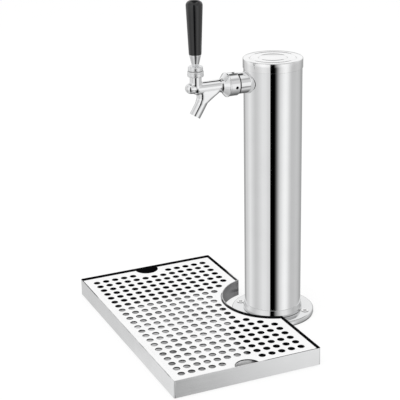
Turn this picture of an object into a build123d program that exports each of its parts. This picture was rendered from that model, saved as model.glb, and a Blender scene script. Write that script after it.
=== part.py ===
from build123d import *
from math import acos, asin, cos, degrees, hypot, radians, sin, sqrt, tan
import os

# Beer tower dispenser: a column with one rear-sealing faucet, and a drip tray set in front of it.
# Frame: millimetres, +Z up, z = 0 on the counter, the column's axis on x = y = 0, the faucet towards -Y.
# Lengths measured "out" run from the column's axis along -Y, at the height of the shank's axis.

# ---- Clearances ----
RUNNING_FIT = 0.05          # radial, turning and sliding metal parts
THREAD_FIT = 0.05           # radial, between the plain cylinders that stand for mating threads
HOLE_CLEARANCE = 0.4        # radial, a part that only passes through a hole
FACE_GAP = 0.1              # between flat faces that draw up on each other
SOFT_GAP = 0.3              # between a soft piece and what it lies against

# ---- Column and base ----
TOWER_HEIGHT = 358.0        # counter to the top of the cap
COLUMN_DIA = 76.2
COLUMN_WALL = 1.5
BASE_GASKET = 1.0
GASKET_INSET = 0.6          # gasket's edge inside the flange's edge
FLANGE_DIA = 112.0
FLANGE_THICK = 6.0
FLANGE_ROUND = 2.2
FLANGE_SEAT = 3.5           # how deep the column stands in the flange
PASS_DIA = 66.0             # hole for the line through the base
COLLAR_HEIGHT = 10.0
COLLAR_SPREAD = 2.2         # how far the weld collar stands out from the column at its foot
COLLAR_BAND = 0.35          # share of the collar's height that is its straight lower band
COLLAR_STEP = 0.65          # share at which it draws in to the column
SCREW_COUNT = 4
SCREW_CIRCLE = 93.0
SCREW_HEAD_DIA = 10.4
SCREW_BODY_DIA = 4.8
SCREW_HEAD_DEPTH = 2.9
SCREW_HEAD_EDGE = 0.4       # straight edge of the head below the flange's top
SCREW_HEAD_PROUD = 0.5      # head above the flange's top
DRIVE_WIDTH = 1.1
DRIVE_SPAN = 5.6
DRIVE_DEPTH = 1.3

# ---- Cap ----
CAP_WALL = 0.8
CAP_TOP = 1.6
CAP_SKIRT = 12.6
CAP_ROUND = 1.0
CAP_GROOVES = (30.0, 18.4)  # radii of the two turned grooves
GROOVE_WIDTH = 0.9
GROOVE_DEPTH = 0.5
PLUG_WALL = 1.6
PLUG_DEPTH = 16.0

# ---- Shank, from the column outwards ----
SHANK_BELOW_TOP = 28.5      # cap's top down to the shank's axis
SLEEVE_DIA = 24.0
SLEEVE_LENGTH = 13.5        # from the column's surface to the sleeve's front face
SADDLE_WIDTH = 39.0         # flared foot of the sleeve, across the column
SADDLE_TALL = 28.0
SADDLE_FLARE = 6.0          # length of the flare
SADDLE_SINK = 5.0           # flare drawn on past the column's surface before it is cut to fit
SADDLE_GASKET = 0.8
SADDLE_GASKET_INSET = 1.6   # gasket's edge inside the flare's drawn foot
STEM_DIA = 16.0
HEAD_DIA = 26.0
HEAD_LENGTH = 12.6
CHAMBER_DIA = 14.0
CHAMBER_DEPTH = 11.0
SHANK_BORE = 8.0
STEM_INSIDE = 18.0          # how far the stem reaches inside the column's surface
INNER_SADDLE_DIA = 25.0
INNER_SADDLE_THICK = 5.0
LOCKNUT_FLATS = 22.0
LOCKNUT_THICK = 5.0

# ---- Coupling nut ----
NUT_DIA = 30.0
NUT_RIM_DIA = 31.4
NUT_WALL = 2.1
NUT_OVERHANG = 0.7          # how far the nut covers the sleeve's front end
NUT_CHAMFER = 1.2
NUT_RIM_WIDTH = 2.4
NUT_RIM_STEP = 0.7          # chamfers on both sides of the rim
NUT_LIP = 0.6               # from the shoulder inside the nut to the foot of its cone
SPANNER_HOLE_DIA = 3.0
SPANNER_HOLE_DEPTH = 1.5
SPANNER_HOLE_COUNT = 4
SPANNER_HOLE_ANGLE = -7.0
SPANNER_HOLE_SET = 7.5      # from the nut's back face
COUPLING_GASKET = 1.0

# ---- Faucet body ----
LEVER_OUT = 109.0           # column axis to lever axis
BARREL_DIA = 16.2
TAIL_FLANGE_DIA = 24.6
TAIL_FLANGE_THICK = 2.8
FLARE_RADIUS = 8.0          # concave run from the barrel up to the coned front of the nut
FLARE_SWEEP = 50.0          # degrees of that arc
SEAM_DIA = 19.0             # where the nut's cone takes over from the body's flare
SEAT_BORE = 10.4
GUIDE_BORE = 8.6
GUIDE_MARGIN = 2.2          # guide bore behind the open slider's back end
FRONT_ROOM = 1.5            # free length in front of the closed slider
NOSE_REACH = 7.2            # lever axis to the centre of the round nose
NOSE_RISE = 1.2             # nose above the barrel's axis
NOSE_DIA = 13.2
BARREL_END = 3.0            # barrel's full diameter ends this far behind the lever axis
NECK_DIA = 15.2
NECK_RISE = 15.9            # barrel axis to the bonnet's shoulder
NECK_THREAD_DIA = 14.2
NECK_THREAD_LENGTH = 3.2
SPOUT_DIA = 14.4
SPOUT_BORE = 9.6
SPOUT_BORE_DEPTH = 20.0     # length of the full bore, from the spout's end
SPOUT_PASSAGE = 8.6         # narrower passage from there to the barrel
SPOUT_TILT = 31.0           # degrees from straight down, towards the drinker
SPOUT_DROP = 35.4           # barrel axis down to the middle of the spout's end
SPOUT_END_OUT = 111.1
SPOUT_STRAIGHT = 22.0       # straight round length, from the spout's end
SPOUT_ROOT = (              # drop below the barrel's axis, extra length behind and ahead, half width
    (1.5, 11.8, 7.5, 7.6),
    (8.0, 8.6, 4.6, 7.5),
    (12.8, 4.4, 1.4, 7.3),
    (19.0, 0.0, 0.0, 7.2),
)
NOSE_PLUG_DIA = 7.6
NOSE_PLUG_SEAT = 4.9        # centre of the nose to the plug's flat seat
NOSE_PLUG_LEDGE = 1.2       # how far the plug's head overlaps its seat
NOSE_PLUG_HEAD = 2.0

# ---- Valve ----
SLIDER_LENGTH = 12.0
SLIDER_BEHIND = 7.0         # slider's back end behind the lever axis
VALVE_STEM_DIA = 4.0
SEAT_WASHER_DIA = 11.8
SEAT_WASHER_THICK = 1.8
SHAFT_NUT_FLATS = 7.0
SHAFT_NUT_THICK = 2.4
STEM_END_STANDOUT = 0.8     # valve stem past its nut
TIP_CLEARANCE = 0.35
POCKET_LIP = 1.1            # slider's flat above the tip's centre

# ---- Lever ----
BALL_DIA = 11.0
BALL_RISE = 15.5            # barrel axis to the ball's centre
TAIL_REACH = 15.0           # ball's centre to the centre of the lever's tip
TAIL_DIA = 3.4
TIP_DIA = 4.4
NECK_STEM_DIA = 4.6         # lever between ball and collar
STUD_DIA = 6.4
STUD_TOP = 41.0             # above the ball's centre
LEVER_TILT = 22.0           # degrees of full travel
SEAT_DROP = 5.2             # ball's centre down to the floor of its socket
SEAT_RING_LIP = 0.3         # how far the seat ring's top edge lies inside the ball's radius
SEAT_RING_WIDTH = 1.2
FRICTION_RING_WIDTH = 0.5   # how far the upper ring reaches in under the ball's full radius
FRICTION_RING_TOP = 1.4     # above the neck's thread
BONNET_DIA = 20.5
BONNET_BALL_RADIUS = 12.3   # round top of the bonnet, about the ball's centre
BONNET_MOUTH_DIA = 14.4
COLLAR_CAP_DIA = 18.9
COLLAR_CAP_TOP = 13.7       # above the ball's centre
COLLAR_CAP_ROUND = 1.6
FERRULE_FOOT_DIA = 8.2
FERRULE_TOP_DIA = 14.8
FERRULE_HEIGHT = 14.8
HANDLE_FOOT_DIA = 16.0
HANDLE_TOP_DIA = 21.4
HANDLE_HEIGHT = 69.0
HANDLE_CROWN = 4.5
HANDLE_ROUND = 2.6
INSERT_DIA = 10.0
INSERT_LENGTH = 17.0

# ---- Line inside the column ----
LINE_OUT = 12.0             # line's axis from the column's axis
LINE_DIA = 11.0
LINE_BORE = 5.0
BARB_DIA = 6.4
BARB_LENGTH = 18.0
BARB_BORE = 3.6
NIPPLE_DIA = 11.4           # elbow's screwed end in the stem
NIPPLE_LENGTH = 7.0
ELBOW_DIA = 15.0
ELBOW_DROP = 12.0           # shank axis to the end of the elbow's stout leg
LEG_DIA = 11.0
COUPLER_FOOT = 3.0          # coupler's lower end above the counter
COUPLER_GRIP = 6.0
CLAMP_WIDTH = 7.0
CLAMP_BAND = 1.2
CLAMP_EAR = (4.0, 6.0)      # ear's length out from the band, and its width
CLAMP_EAR_SINK = 0.4        # how deep the ear is joined into the band
CLAMP_SET = 4.0             # clamp's near face from the line's end
FOAM_OFF_CLAMP = 6.0        # foam's lower end above the lower clamp
FOAM_BELOW_ELBOW = 32.5     # foam's upper end below the elbow's stout leg

# ---- Drip tray ----
TRAY_LENGTH = 340.0
TRAY_WIDTH = 200.0
TRAY_HEIGHT = 24.0
TRAY_FRONT_OF_AXIS = 20.0   # tower-side edge of the tray, in front of the column's axis
TRAY_WALL = 1.2
TRAY_CORNER = 2.0
CUTOUT_RADIUS = 69.0
TRAY_FOOT_DIA = 16.0
TRAY_FOOT_THICK = 1.0
TRAY_FOOT_INSET = 16.0
GRID_RECESS = 2.6           # grid's top below the rim
GRID_THICK = 1.5
GRID_GAP = 1.2              # between the grid's edge and the pan's wall
HOLE_DIA = 8.8
HOLE_COLUMNS = 22
HOLE_ROWS = 13
HOLE_PITCH_LONG = 14.4
HOLE_PITCH_SHORT = 13.7
HOLE_LAND = 3.5             # least metal between a hole and a cut-out
NOTCH_RADIUS = 16.5
LEG_WIDTH = 14.0
LEG_THICK = 1.2
LEG_FOOT = 5.0
LEG_INSET = 3.5             # from the grid's edge to the leg's outer face

# ---- Worked out from the sizes above ----
COLUMN_R = COLUMN_DIA / 2
SHANK_HEIGHT = TOWER_HEIGHT - SHANK_BELOW_TOP
COLUMN_BORE_R = COLUMN_R - COLUMN_WALL
FLANGE_TOP = BASE_GASKET + FLANGE_THICK
COLUMN_FOOT = FLANGE_TOP - FLANGE_SEAT
COLUMN_TOP = TOWER_HEIGHT - CAP_TOP - FACE_GAP
CAP_R = COLUMN_R + RUNNING_FIT + CAP_WALL
SLEEVE_FRONT = COLUMN_R + SLEEVE_LENGTH
HEAD_FRONT = SLEEVE_FRONT + HEAD_LENGTH
NUT_BACK = SLEEVE_FRONT - NUT_OVERHANG
NUT_BORE_R = HEAD_DIA / 2 + THREAD_FIT
BODY_BACK = HEAD_FRONT + COUPLING_GASKET
TAIL_FRONT = BODY_BACK + TAIL_FLANGE_THICK
NUT_SHOULDER = TAIL_FRONT + FACE_GAP
BARREL_R = BARREL_DIA / 2
CONE_R = NUT_DIA / 2
FLARE_CENTRE_R = BARREL_R + FLARE_RADIUS
CONE_START_R = FLARE_CENTRE_R - FLARE_RADIUS * cos(radians(FLARE_SWEEP))
CONE_LENGTH = (CONE_R - CONE_START_R) / tan(radians(FLARE_SWEEP))
CONE_BASE = NUT_SHOULDER + NUT_LIP
FLARE_END = CONE_BASE + CONE_LENGTH + FLARE_RADIUS * sin(radians(FLARE_SWEEP))
BALL_HEIGHT = SHANK_HEIGHT + BALL_RISE
TIP_HEIGHT = BALL_HEIGHT - TAIL_REACH
NECK_TOP = SHANK_HEIGHT + NECK_RISE
NECK_THREAD_TOP = NECK_TOP + NECK_THREAD_LENGTH
BALL_BORE_R = BALL_DIA / 2 + SOFT_GAP
SEAT_FLOOR = BALL_HEIGHT - SEAT_DROP
NOSE_OUT = LEVER_OUT + NOSE_REACH
TILT = radians(LEVER_TILT)
VALVE_TRAVEL = TAIL_REACH * TILT
SLIDER_BACK = LEVER_OUT - SLIDER_BEHIND
SLIDER_FRONT = SLIDER_BACK + SLIDER_LENGTH
GUIDE_BACK = SLIDER_BACK - VALVE_TRAVEL - GUIDE_MARGIN
VALVE_FRONT_STOP = SLIDER_FRONT + FRONT_ROOM + 0.5
WASHER_FRONT = BODY_BACK - FACE_GAP
WASHER_BACK = WASHER_FRONT - SEAT_WASHER_THICK
SHAFT_NUT_BACK = WASHER_BACK - SHAFT_NUT_THICK
VALVE_END = SHAFT_NUT_BACK - STEM_END_STANDOUT
COLLAR_TOP = BALL_HEIGHT + COLLAR_CAP_TOP
FERRULE_TOP = COLLAR_TOP + FERRULE_HEIGHT
HANDLE_TOP = FERRULE_TOP + HANDLE_HEIGHT
STEM_END = COLUMN_R - STEM_INSIDE
COUPLER_SHOULDER = COUPLER_FOOT + BARB_LENGTH + COUPLER_GRIP
FOAM_BOTTOM = COUPLER_SHOULDER + CLAMP_SET + CLAMP_WIDTH + FOAM_OFF_CLAMP
FOAM_TOP = SHANK_HEIGHT - ELBOW_DROP - FOAM_BELOW_ELBOW
GRID_TOP = TRAY_HEIGHT - GRID_RECESS
PAN_FLOOR_TOP = TRAY_FOOT_THICK + TRAY_WALL
TRAY_CENTRE_Y = -TRAY_FRONT_OF_AXIS - TRAY_WIDTH / 2

OUTWARDS = Plane(origin=(0, 0, SHANK_HEIGHT), x_dir=(1, 0, 0), z_dir=(0, 0, -1))


def upright(out=0.0):
    """The plane whose local Y is a vertical axis at this distance in front of the column."""
    return Plane(origin=(0, -out, 0), x_dir=(1, 0, 0), z_dir=(0, -1, 0))


def outline(points, rounds=()):
    """A closed face through the points, with some corners rounded: rounds holds (index, radius) pairs."""
    face = make_face(Polyline(*points, close=True))
    for index, radius in rounds:
        corner = face.vertices().sort_by_distance(Vector(*points[index]))[0]
        face = fillet(corner, radius)
    return face


def spun(face, seat):
    """A solid of revolution: the face's x is the radius and its y runs along the seat's local Y."""
    return revolve(seat * face, Axis(seat.origin, seat.y_dir), 360)


def turned(points, seat, rounds=()):
    """A turned solid from (radius, place along the axis) points."""
    return spun(outline(points, rounds), seat)


def tube(outer_r, inner_r, start, end, seat):
    """A plain ring or tube between two places along the seat's axis."""
    return turned([(inner_r, start), (outer_r, start), (outer_r, end), (inner_r, end)], seat)


def rod(radius, start, end, seat):
    """A plain cylinder between two places along the seat's axis."""
    return turned([(0, start), (radius, start), (radius, end), (0, end)], seat)


def block(width, depth, height, x=0.0, y=0.0, z=0.0):
    """A box standing on z, centred on x and y."""
    return Pos(x, y, z + height / 2) * Box(width, depth, height)


def column_disc(radius):
    """A tall cylinder about the column's axis, used to cut or keep what meets the column."""
    return rod(radius, 0, 2 * TOWER_HEIGHT, upright())


def hexagon(flats, start, end, seat):
    """A hexagonal prism along the seat's axis."""
    section = Plane(origin=seat.origin + seat.y_dir * start, x_dir=seat.x_dir, z_dir=seat.y_dir)
    return extrude(section * RegularPolygon(flats / 2, 6, major_radius=False), end - start)


def around(count, radius, start_angle=0.0):
    """Places on a circle about the column's axis."""
    return [
        (radius * cos(radians(start_angle + 360 / count * i)), radius * sin(radians(start_angle + 360 / count * i)))
        for i in range(count)
    ]


# ---- Column, base and cap ----

def column_tube():
    shell = tube(COLUMN_R, COLUMN_BORE_R, COLUMN_FOOT, COLUMN_TOP, upright())
    return shell - rod(STEM_DIA / 2 + HOLE_CLEARANCE, 0, COLUMN_R + 5, OUTWARDS)


def screw_places():
    return around(SCREW_COUNT, SCREW_CIRCLE / 2, 45)


def base_flange():
    bore_r = COLUMN_R + THREAD_FIT
    points = [
        (PASS_DIA / 2, BASE_GASKET),
        (FLANGE_DIA / 2, BASE_GASKET),
        (FLANGE_DIA / 2, FLANGE_TOP),
        (bore_r, FLANGE_TOP),
        (bore_r, COLUMN_FOOT),
        (PASS_DIA / 2, COLUMN_FOOT),
    ]
    ring = turned(points, upright(), [(2, FLANGE_ROUND), (1, FLANGE_ROUND / 4)])
    for x, y in screw_places():
        seat = Plane(origin=(x, y, 0), x_dir=(1, 0, 0), z_dir=(0, -1, 0))
        ring -= turned(screw_profile(FACE_GAP, BASE_GASKET - 1), seat)
    return ring


def screw_profile(gap, low):
    """The countersunk screw's half section, grown by a gap for its hole."""
    head_r = SCREW_HEAD_DIA / 2 + gap
    body_r = SCREW_BODY_DIA / 2 + gap
    head_foot = FLANGE_TOP - SCREW_HEAD_DEPTH
    head_edge = FLANGE_TOP - SCREW_HEAD_EDGE
    top = FLANGE_TOP + SCREW_HEAD_PROUD
    return [(0, low), (body_r, low), (body_r, head_foot), (head_r, head_edge), (head_r, top), (0, top)]


def flange_screws():
    """Four countersunk cross-head screws. Each ends level with the flange's underside."""
    screws = []
    for x, y in screw_places():
        seat = Plane(origin=(x, y, 0), x_dir=(1, 0, 0), z_dir=(0, -1, 0))
        screw = turned(screw_profile(0, BASE_GASKET), seat)
        for turn in (20, 110):
            slot = block(DRIVE_SPAN, DRIVE_WIDTH, DRIVE_DEPTH + 1, z=FLANGE_TOP + SCREW_HEAD_PROUD - DRIVE_DEPTH)
            screw -= Pos(x, y, 0) * Rot(0, 0, turn) * slot
        screws.append(screw)
    return screws


def base_gasket():
    ring = tube(FLANGE_DIA / 2 - GASKET_INSET, PASS_DIA / 2, 0, BASE_GASKET, upright())
    for x, y in screw_places():
        ring -= Pos(x, y, BASE_GASKET / 2) * Cylinder(SCREW_BODY_DIA / 2 + HOLE_CLEARANCE, BASE_GASKET * 2)
    return ring


def base_collar():
    """The flared weld ring round the column's foot."""
    inner = COLUMN_R + THREAD_FIT
    foot = COLUMN_R + COLLAR_SPREAD
    top = FLANGE_TOP + COLLAR_HEIGHT
    band_top = FLANGE_TOP + COLLAR_HEIGHT * COLLAR_BAND
    step_top = FLANGE_TOP + COLLAR_HEIGHT * COLLAR_STEP
    points = [
        (inner, FLANGE_TOP),
        (foot, FLANGE_TOP),
        (foot, band_top),
        (foot - COLLAR_SPREAD * 0.45, step_top),
        (inner + COLLAR_SPREAD * 0.2, top),
        (inner, top),
    ]
    return turned(points, upright(), [(2, COLLAR_SPREAD / 2), (3, COLLAR_SPREAD)])


def top_cap():
    inner = COLUMN_R + RUNNING_FIT
    under = TOWER_HEIGHT - CAP_TOP
    skirt_foot = TOWER_HEIGHT - CAP_SKIRT
    points = [
        (0, under),
        (inner, under),
        (inner, skirt_foot),
        (CAP_R, skirt_foot),
        (CAP_R, TOWER_HEIGHT),
        (0, TOWER_HEIGHT),
    ]
    cap = turned(points, upright(), [(4, CAP_ROUND), (3, CAP_WALL / 3)])
    for radius in CAP_GROOVES:
        cap -= tube(radius + GROOVE_WIDTH / 2, radius - GROOVE_WIDTH / 2, TOWER_HEIGHT - GROOVE_DEPTH,
                    TOWER_HEIGHT + 1, upright())
    return cap


def cap_plug():
    """Plastic cup under the cap that grips the column's bore."""
    outer = COLUMN_BORE_R - RUNNING_FIT
    top = COLUMN_TOP
    points = [
        (0, top),
        (outer, top),
        (outer, top - PLUG_DEPTH),
        (outer - PLUG_WALL, top - PLUG_DEPTH),
        (outer - PLUG_WALL, top - PLUG_WALL),
        (0, top - PLUG_WALL),
    ]
    return turned(points, upright()) - rod(HEAD_DIA / 2, 0, COLUMN_R, OUTWARDS)


def foam_insulation():
    body = rod(COLUMN_BORE_R - SOFT_GAP, FOAM_BOTTOM, FOAM_TOP, upright())
    return body - rod(LINE_DIA / 2 + SOFT_GAP, 0, TOWER_HEIGHT, upright(LINE_OUT))


# ---- Shank ----

def shank_sleeve():
    """Flared sleeve between the column and the coupling nut, cut to sit on the column."""
    start = COLUMN_R - SADDLE_SINK
    flare_top = COLUMN_R + SADDLE_FLARE
    foot_section = Plane(origin=(0, -start, SHANK_HEIGHT), x_dir=(1, 0, 0), z_dir=(0, -1, 0))
    top_section = Plane(origin=(0, -flare_top, SHANK_HEIGHT), x_dir=(1, 0, 0), z_dir=(0, -1, 0))
    foot = foot_section * Ellipse(SADDLE_WIDTH / 2, SADDLE_TALL / 2)
    top = top_section * Circle(SLEEVE_DIA / 2)
    sleeve = loft([foot, top]) + rod(SLEEVE_DIA / 2, flare_top, SLEEVE_FRONT - FACE_GAP, OUTWARDS)
    sleeve -= rod(STEM_DIA / 2 + THREAD_FIT, start, SLEEVE_FRONT, OUTWARDS)
    return sleeve - column_disc(COLUMN_R + SADDLE_GASKET)


def saddle_gasket():
    """Thin curved gasket between the sleeve's foot and the column."""
    plate_plane = Plane(origin=(0, 0, SHANK_HEIGHT), x_dir=(1, 0, 0), z_dir=(0, -1, 0))
    inset = SADDLE_GASKET_INSET
    plate = extrude(plate_plane * Ellipse(SADDLE_WIDTH / 2 - inset, SADDLE_TALL / 2 - inset), SLEEVE_FRONT)
    plate &= column_disc(COLUMN_R + SADDLE_GASKET)
    plate -= column_disc(COLUMN_R)
    return plate - rod(STEM_DIA / 2 + HOLE_CLEARANCE, 0, SLEEVE_FRONT, OUTWARDS)


def faucet_shank():
    """Threaded head in the coupling nut and a stem through the column's wall."""
    stem_r = STEM_DIA / 2
    points = [
        (SHANK_BORE / 2, STEM_END),
        (stem_r, STEM_END),
        (stem_r, SLEEVE_FRONT),
        (HEAD_DIA / 2, SLEEVE_FRONT),
        (HEAD_DIA / 2, HEAD_FRONT),
        (CHAMBER_DIA / 2, HEAD_FRONT),
        (CHAMBER_DIA / 2, HEAD_FRONT - CHAMBER_DEPTH),
        (SHANK_BORE / 2, HEAD_FRONT - CHAMBER_DEPTH),
    ]
    shank = turned(points, OUTWARDS, [(4, 0.6)])
    return shank - rod(NIPPLE_DIA / 2 + THREAD_FIT, STEM_END, STEM_END + NIPPLE_LENGTH + 1, OUTWARDS)


def inner_saddle():
    back = COLUMN_BORE_R - INNER_SADDLE_THICK
    pad = rod(INNER_SADDLE_DIA / 2, back, COLUMN_R, OUTWARDS)
    pad &= column_disc(COLUMN_BORE_R - RUNNING_FIT)
    return pad - rod(STEM_DIA / 2 + HOLE_CLEARANCE, 0, COLUMN_R, OUTWARDS)


def shank_locknut():
    front = COLUMN_BORE_R - INNER_SADDLE_THICK - FACE_GAP
    nut = hexagon(LOCKNUT_FLATS, front - LOCKNUT_THICK, front, OUTWARDS)
    return nut - rod(STEM_DIA / 2 + THREAD_FIT, 0, COLUMN_R, OUTWARDS)


def line_elbow():
    """Elbow screwed into the stem's inner end, with a barbed leg straight down."""
    line = upright(LINE_OUT)
    leg_end = SHANK_HEIGHT - ELBOW_DROP
    barb_end = leg_end - BARB_LENGTH
    body = rod(ELBOW_DIA / 2, LINE_OUT - ELBOW_DIA / 2, STEM_END - FACE_GAP, OUTWARDS)
    body += rod(NIPPLE_DIA / 2, STEM_END - 1, STEM_END + NIPPLE_LENGTH, OUTWARDS)
    body += rod(LEG_DIA / 2, leg_end, SHANK_HEIGHT, line)
    body += rod(BARB_DIA / 2, barb_end, leg_end, line)
    body -= rod(LINE_BORE / 2, LINE_OUT, STEM_END + NIPPLE_LENGTH + 1, OUTWARDS)
    return body - rod(BARB_BORE / 2, barb_end, SHANK_HEIGHT, line)


def beer_line():
    line = upright(LINE_OUT)
    top = SHANK_HEIGHT - ELBOW_DROP - FACE_GAP
    bottom = COUPLER_SHOULDER + FACE_GAP
    grip = BARB_DIA / 2 + RUNNING_FIT
    hose = tube(LINE_DIA / 2, LINE_BORE / 2, bottom, top, line)
    hose -= rod(grip, top - BARB_LENGTH, top, line)
    return hose - rod(grip, bottom, bottom + BARB_LENGTH, line)


def line_coupler():
    line = upright(LINE_OUT)
    top = COUPLER_SHOULDER + BARB_LENGTH
    body = rod(BARB_DIA / 2, COUPLER_FOOT, top, line)
    body += hexagon(LINE_DIA, COUPLER_SHOULDER - COUPLER_GRIP, COUPLER_SHOULDER, line)
    return body - rod(BARB_BORE / 2, 0, top, line)


def hose_clamps():
    line = upright(LINE_OUT)
    inner = LINE_DIA / 2 + RUNNING_FIT
    top = SHANK_HEIGHT - ELBOW_DROP - CLAMP_SET
    clamps = []
    for low in (top - CLAMP_WIDTH, COUPLER_SHOULDER + CLAMP_SET):
        band = tube(inner + CLAMP_BAND, inner, low, low + CLAMP_WIDTH, line)
        ear_x = inner + CLAMP_BAND - CLAMP_EAR_SINK + CLAMP_EAR[0] / 2
        ear = block(CLAMP_EAR[0], CLAMP_EAR[1], CLAMP_WIDTH, x=ear_x, y=-LINE_OUT, z=low)
        clamps.append(band + ear)
    return clamps


# ---- Coupling nut and faucet body ----

def flare_point(sweep):
    """A (radius, out) point on the concave flare, at this many degrees from the barrel."""
    angle = radians(sweep)
    return (FLARE_CENTRE_R - FLARE_RADIUS * cos(angle), FLARE_END - FLARE_RADIUS * sin(angle))


def flare_sweep(radius):
    """How many degrees along the flare a radius lies."""
    return degrees(acos((FLARE_CENTRE_R - radius) / FLARE_RADIUS))


def coupling_nut():
    rim_r = NUT_RIM_DIA / 2
    seam = flare_point(flare_sweep(SEAM_DIA / 2 + FACE_GAP))
    cone_top = flare_point(FLARE_SWEEP)
    middle = flare_point((flare_sweep(SEAM_DIA / 2 + FACE_GAP) + FLARE_SWEEP) / 2)
    rim_front = (rim_r, CONE_BASE - NUT_RIM_STEP)
    rim_back = (rim_r, CONE_BASE - NUT_RIM_WIDTH)
    outside = [
        ThreePointArc(seam, middle, cone_top),
        Polyline(
            cone_top,
            (CONE_R, CONE_BASE),
            rim_front,
            rim_back,
            (CONE_R, CONE_BASE - NUT_RIM_WIDTH - NUT_RIM_STEP),
            (CONE_R, NUT_BACK + NUT_CHAMFER),
            (CONE_R - NUT_CHAMFER, NUT_BACK),
            (NUT_BORE_R, NUT_BACK),
            (NUT_BORE_R, NUT_SHOULDER),
            (seam[0], NUT_SHOULDER),
            seam,
        ),
    ]
    nut = spun(make_face(outside), OUTWARDS)
    for i in range(SPANNER_HOLE_COUNT):
        turn = radians(SPANNER_HOLE_ANGLE + 360 / SPANNER_HOLE_COUNT * i)
        direction = Vector(cos(turn), 0, sin(turn))
        mouth = Vector(0, -(NUT_BACK + SPANNER_HOLE_SET), SHANK_HEIGHT) + direction * (CONE_R + 1)
        drill = Plane(origin=mouth, x_dir=(0, 1, 0), z_dir=-direction)
        nut -= extrude(drill * Circle(SPANNER_HOLE_DIA / 2), SPANNER_HOLE_DEPTH + 1)
    return nut


def coupling_gasket():
    return tube(TAIL_FLANGE_DIA / 2 - 0.3, CHAMBER_DIA / 2 + 0.5, HEAD_FRONT, BODY_BACK, OUTWARDS)


def spout_axis_out(height):
    """Where the spout's straight axis lies at this height above the counter."""
    return SPOUT_END_OUT - (height - SHANK_HEIGHT + SPOUT_DROP) * tan(radians(SPOUT_TILT))


def spout_solid():
    """The spout: a round tube along its tilted axis, with a root that spreads into the barrel."""
    half = SPOUT_DIA / 2 / cos(radians(SPOUT_TILT))
    sections = []
    for drop, behind, ahead, half_width in SPOUT_ROOT:
        height = SHANK_HEIGHT - drop
        back = spout_axis_out(height) - half - behind
        front = spout_axis_out(height) + half + ahead
        sections.append(Pos(0, -(back + front) / 2, height) * Ellipse(half_width, (front - back) / 2))
    straight = rod(SPOUT_DIA / 2, 0, SPOUT_STRAIGHT, spout_line())
    return loft(sections) + straight


def spout_line():
    """The plane at the middle of the spout's end, its local Y up the spout's axis."""
    tilt = radians(SPOUT_TILT)
    origin = (0, -SPOUT_END_OUT, SHANK_HEIGHT - SPOUT_DROP)
    return Plane(origin=origin, x_dir=(1, 0, 0), z_dir=(0, -cos(tilt), sin(tilt)))


def nose_axis():
    """The plane whose local Y runs out along the nose's axis."""
    return Plane(origin=(0, 0, SHANK_HEIGHT + NOSE_RISE), x_dir=(1, 0, 0), z_dir=(0, 0, -1))


def nose_hole_radius():
    return NOSE_PLUG_DIA / 2 - NOSE_PLUG_LEDGE


def nose_solid(start):
    """The round-ended nose, cut flat for the plug's seat."""
    nose_r = NOSE_DIA / 2
    seat_r = sqrt(nose_r ** 2 - NOSE_PLUG_SEAT ** 2)
    half_turn = acos(NOSE_PLUG_SEAT / nose_r)
    between = (half_turn + radians(90)) / 2
    edges = [
        Polyline((0, start), (nose_r, start), (nose_r, NOSE_OUT)),
        ThreePointArc((nose_r, NOSE_OUT), (nose_r * sin(between), NOSE_OUT + nose_r * cos(between)),
                      (seat_r, NOSE_OUT + NOSE_PLUG_SEAT)),
        Polyline((seat_r, NOSE_OUT + NOSE_PLUG_SEAT), (0, NOSE_OUT + NOSE_PLUG_SEAT), (0, start)),
    ]
    return spun(make_face(edges), nose_axis())


def faucet_body():
    seam = flare_point(flare_sweep(SEAM_DIA / 2))
    middle = flare_point(flare_sweep(SEAM_DIA / 2) / 2)
    barrel_end = LEVER_OUT - BARREL_END
    taper_end = barrel_end + BARREL_R
    outside = [
        Polyline((0, BODY_BACK), (TAIL_FLANGE_DIA / 2, BODY_BACK), (TAIL_FLANGE_DIA / 2, TAIL_FRONT),
                 (SEAM_DIA / 2, TAIL_FRONT), seam),
        ThreePointArc(seam, middle, (BARREL_R, FLARE_END)),
        Polyline((BARREL_R, FLARE_END), (BARREL_R, barrel_end), (GUIDE_BORE / 2 + 1, taper_end),
                 (0, taper_end), (0, BODY_BACK)),
    ]
    body = spun(make_face(outside), OUTWARDS)
    body += nose_solid(barrel_end)
    body += spout_solid()
    neck = upright(LEVER_OUT)
    body += rod(NECK_DIA / 2, SHANK_HEIGHT, NECK_TOP, neck)
    body += rod(NECK_THREAD_DIA / 2, NECK_TOP - 1, NECK_THREAD_TOP, neck)
    body -= rod(BALL_BORE_R, SEAT_FLOOR, NECK_THREAD_TOP + 1, neck)
    body -= rod(SEAT_BORE / 2, BODY_BACK - 1, GUIDE_BACK, OUTWARDS)
    body -= rod(GUIDE_BORE / 2, GUIDE_BACK - 1, SLIDER_FRONT + FRONT_ROOM, OUTWARDS)
    body -= rod(SPOUT_BORE / 2, -1, SPOUT_BORE_DEPTH, spout_line())
    body -= rod(SPOUT_PASSAGE / 2, 0, SPOUT_DROP / cos(radians(SPOUT_TILT)), spout_line())
    body -= tail_slot()
    return body - rod(nose_hole_radius(), SLIDER_FRONT, NOSE_OUT + NOSE_DIA, nose_axis())


def tail_slot():
    """The slot in the neck's floor that the lever's tail swings in."""
    half = TAIL_DIA / 2 + HOLE_CLEARANCE
    swing = (BALL_HEIGHT - SHANK_HEIGHT - GUIDE_BORE / 2 + 1) * tan(TILT) + HOLE_CLEARANCE
    length = swing + 2 * half
    middle = LEVER_OUT + half - length / 2
    return block(2 * half, length, SEAT_FLOOR - SHANK_HEIGHT + 1, y=-middle, z=SHANK_HEIGHT)


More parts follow.
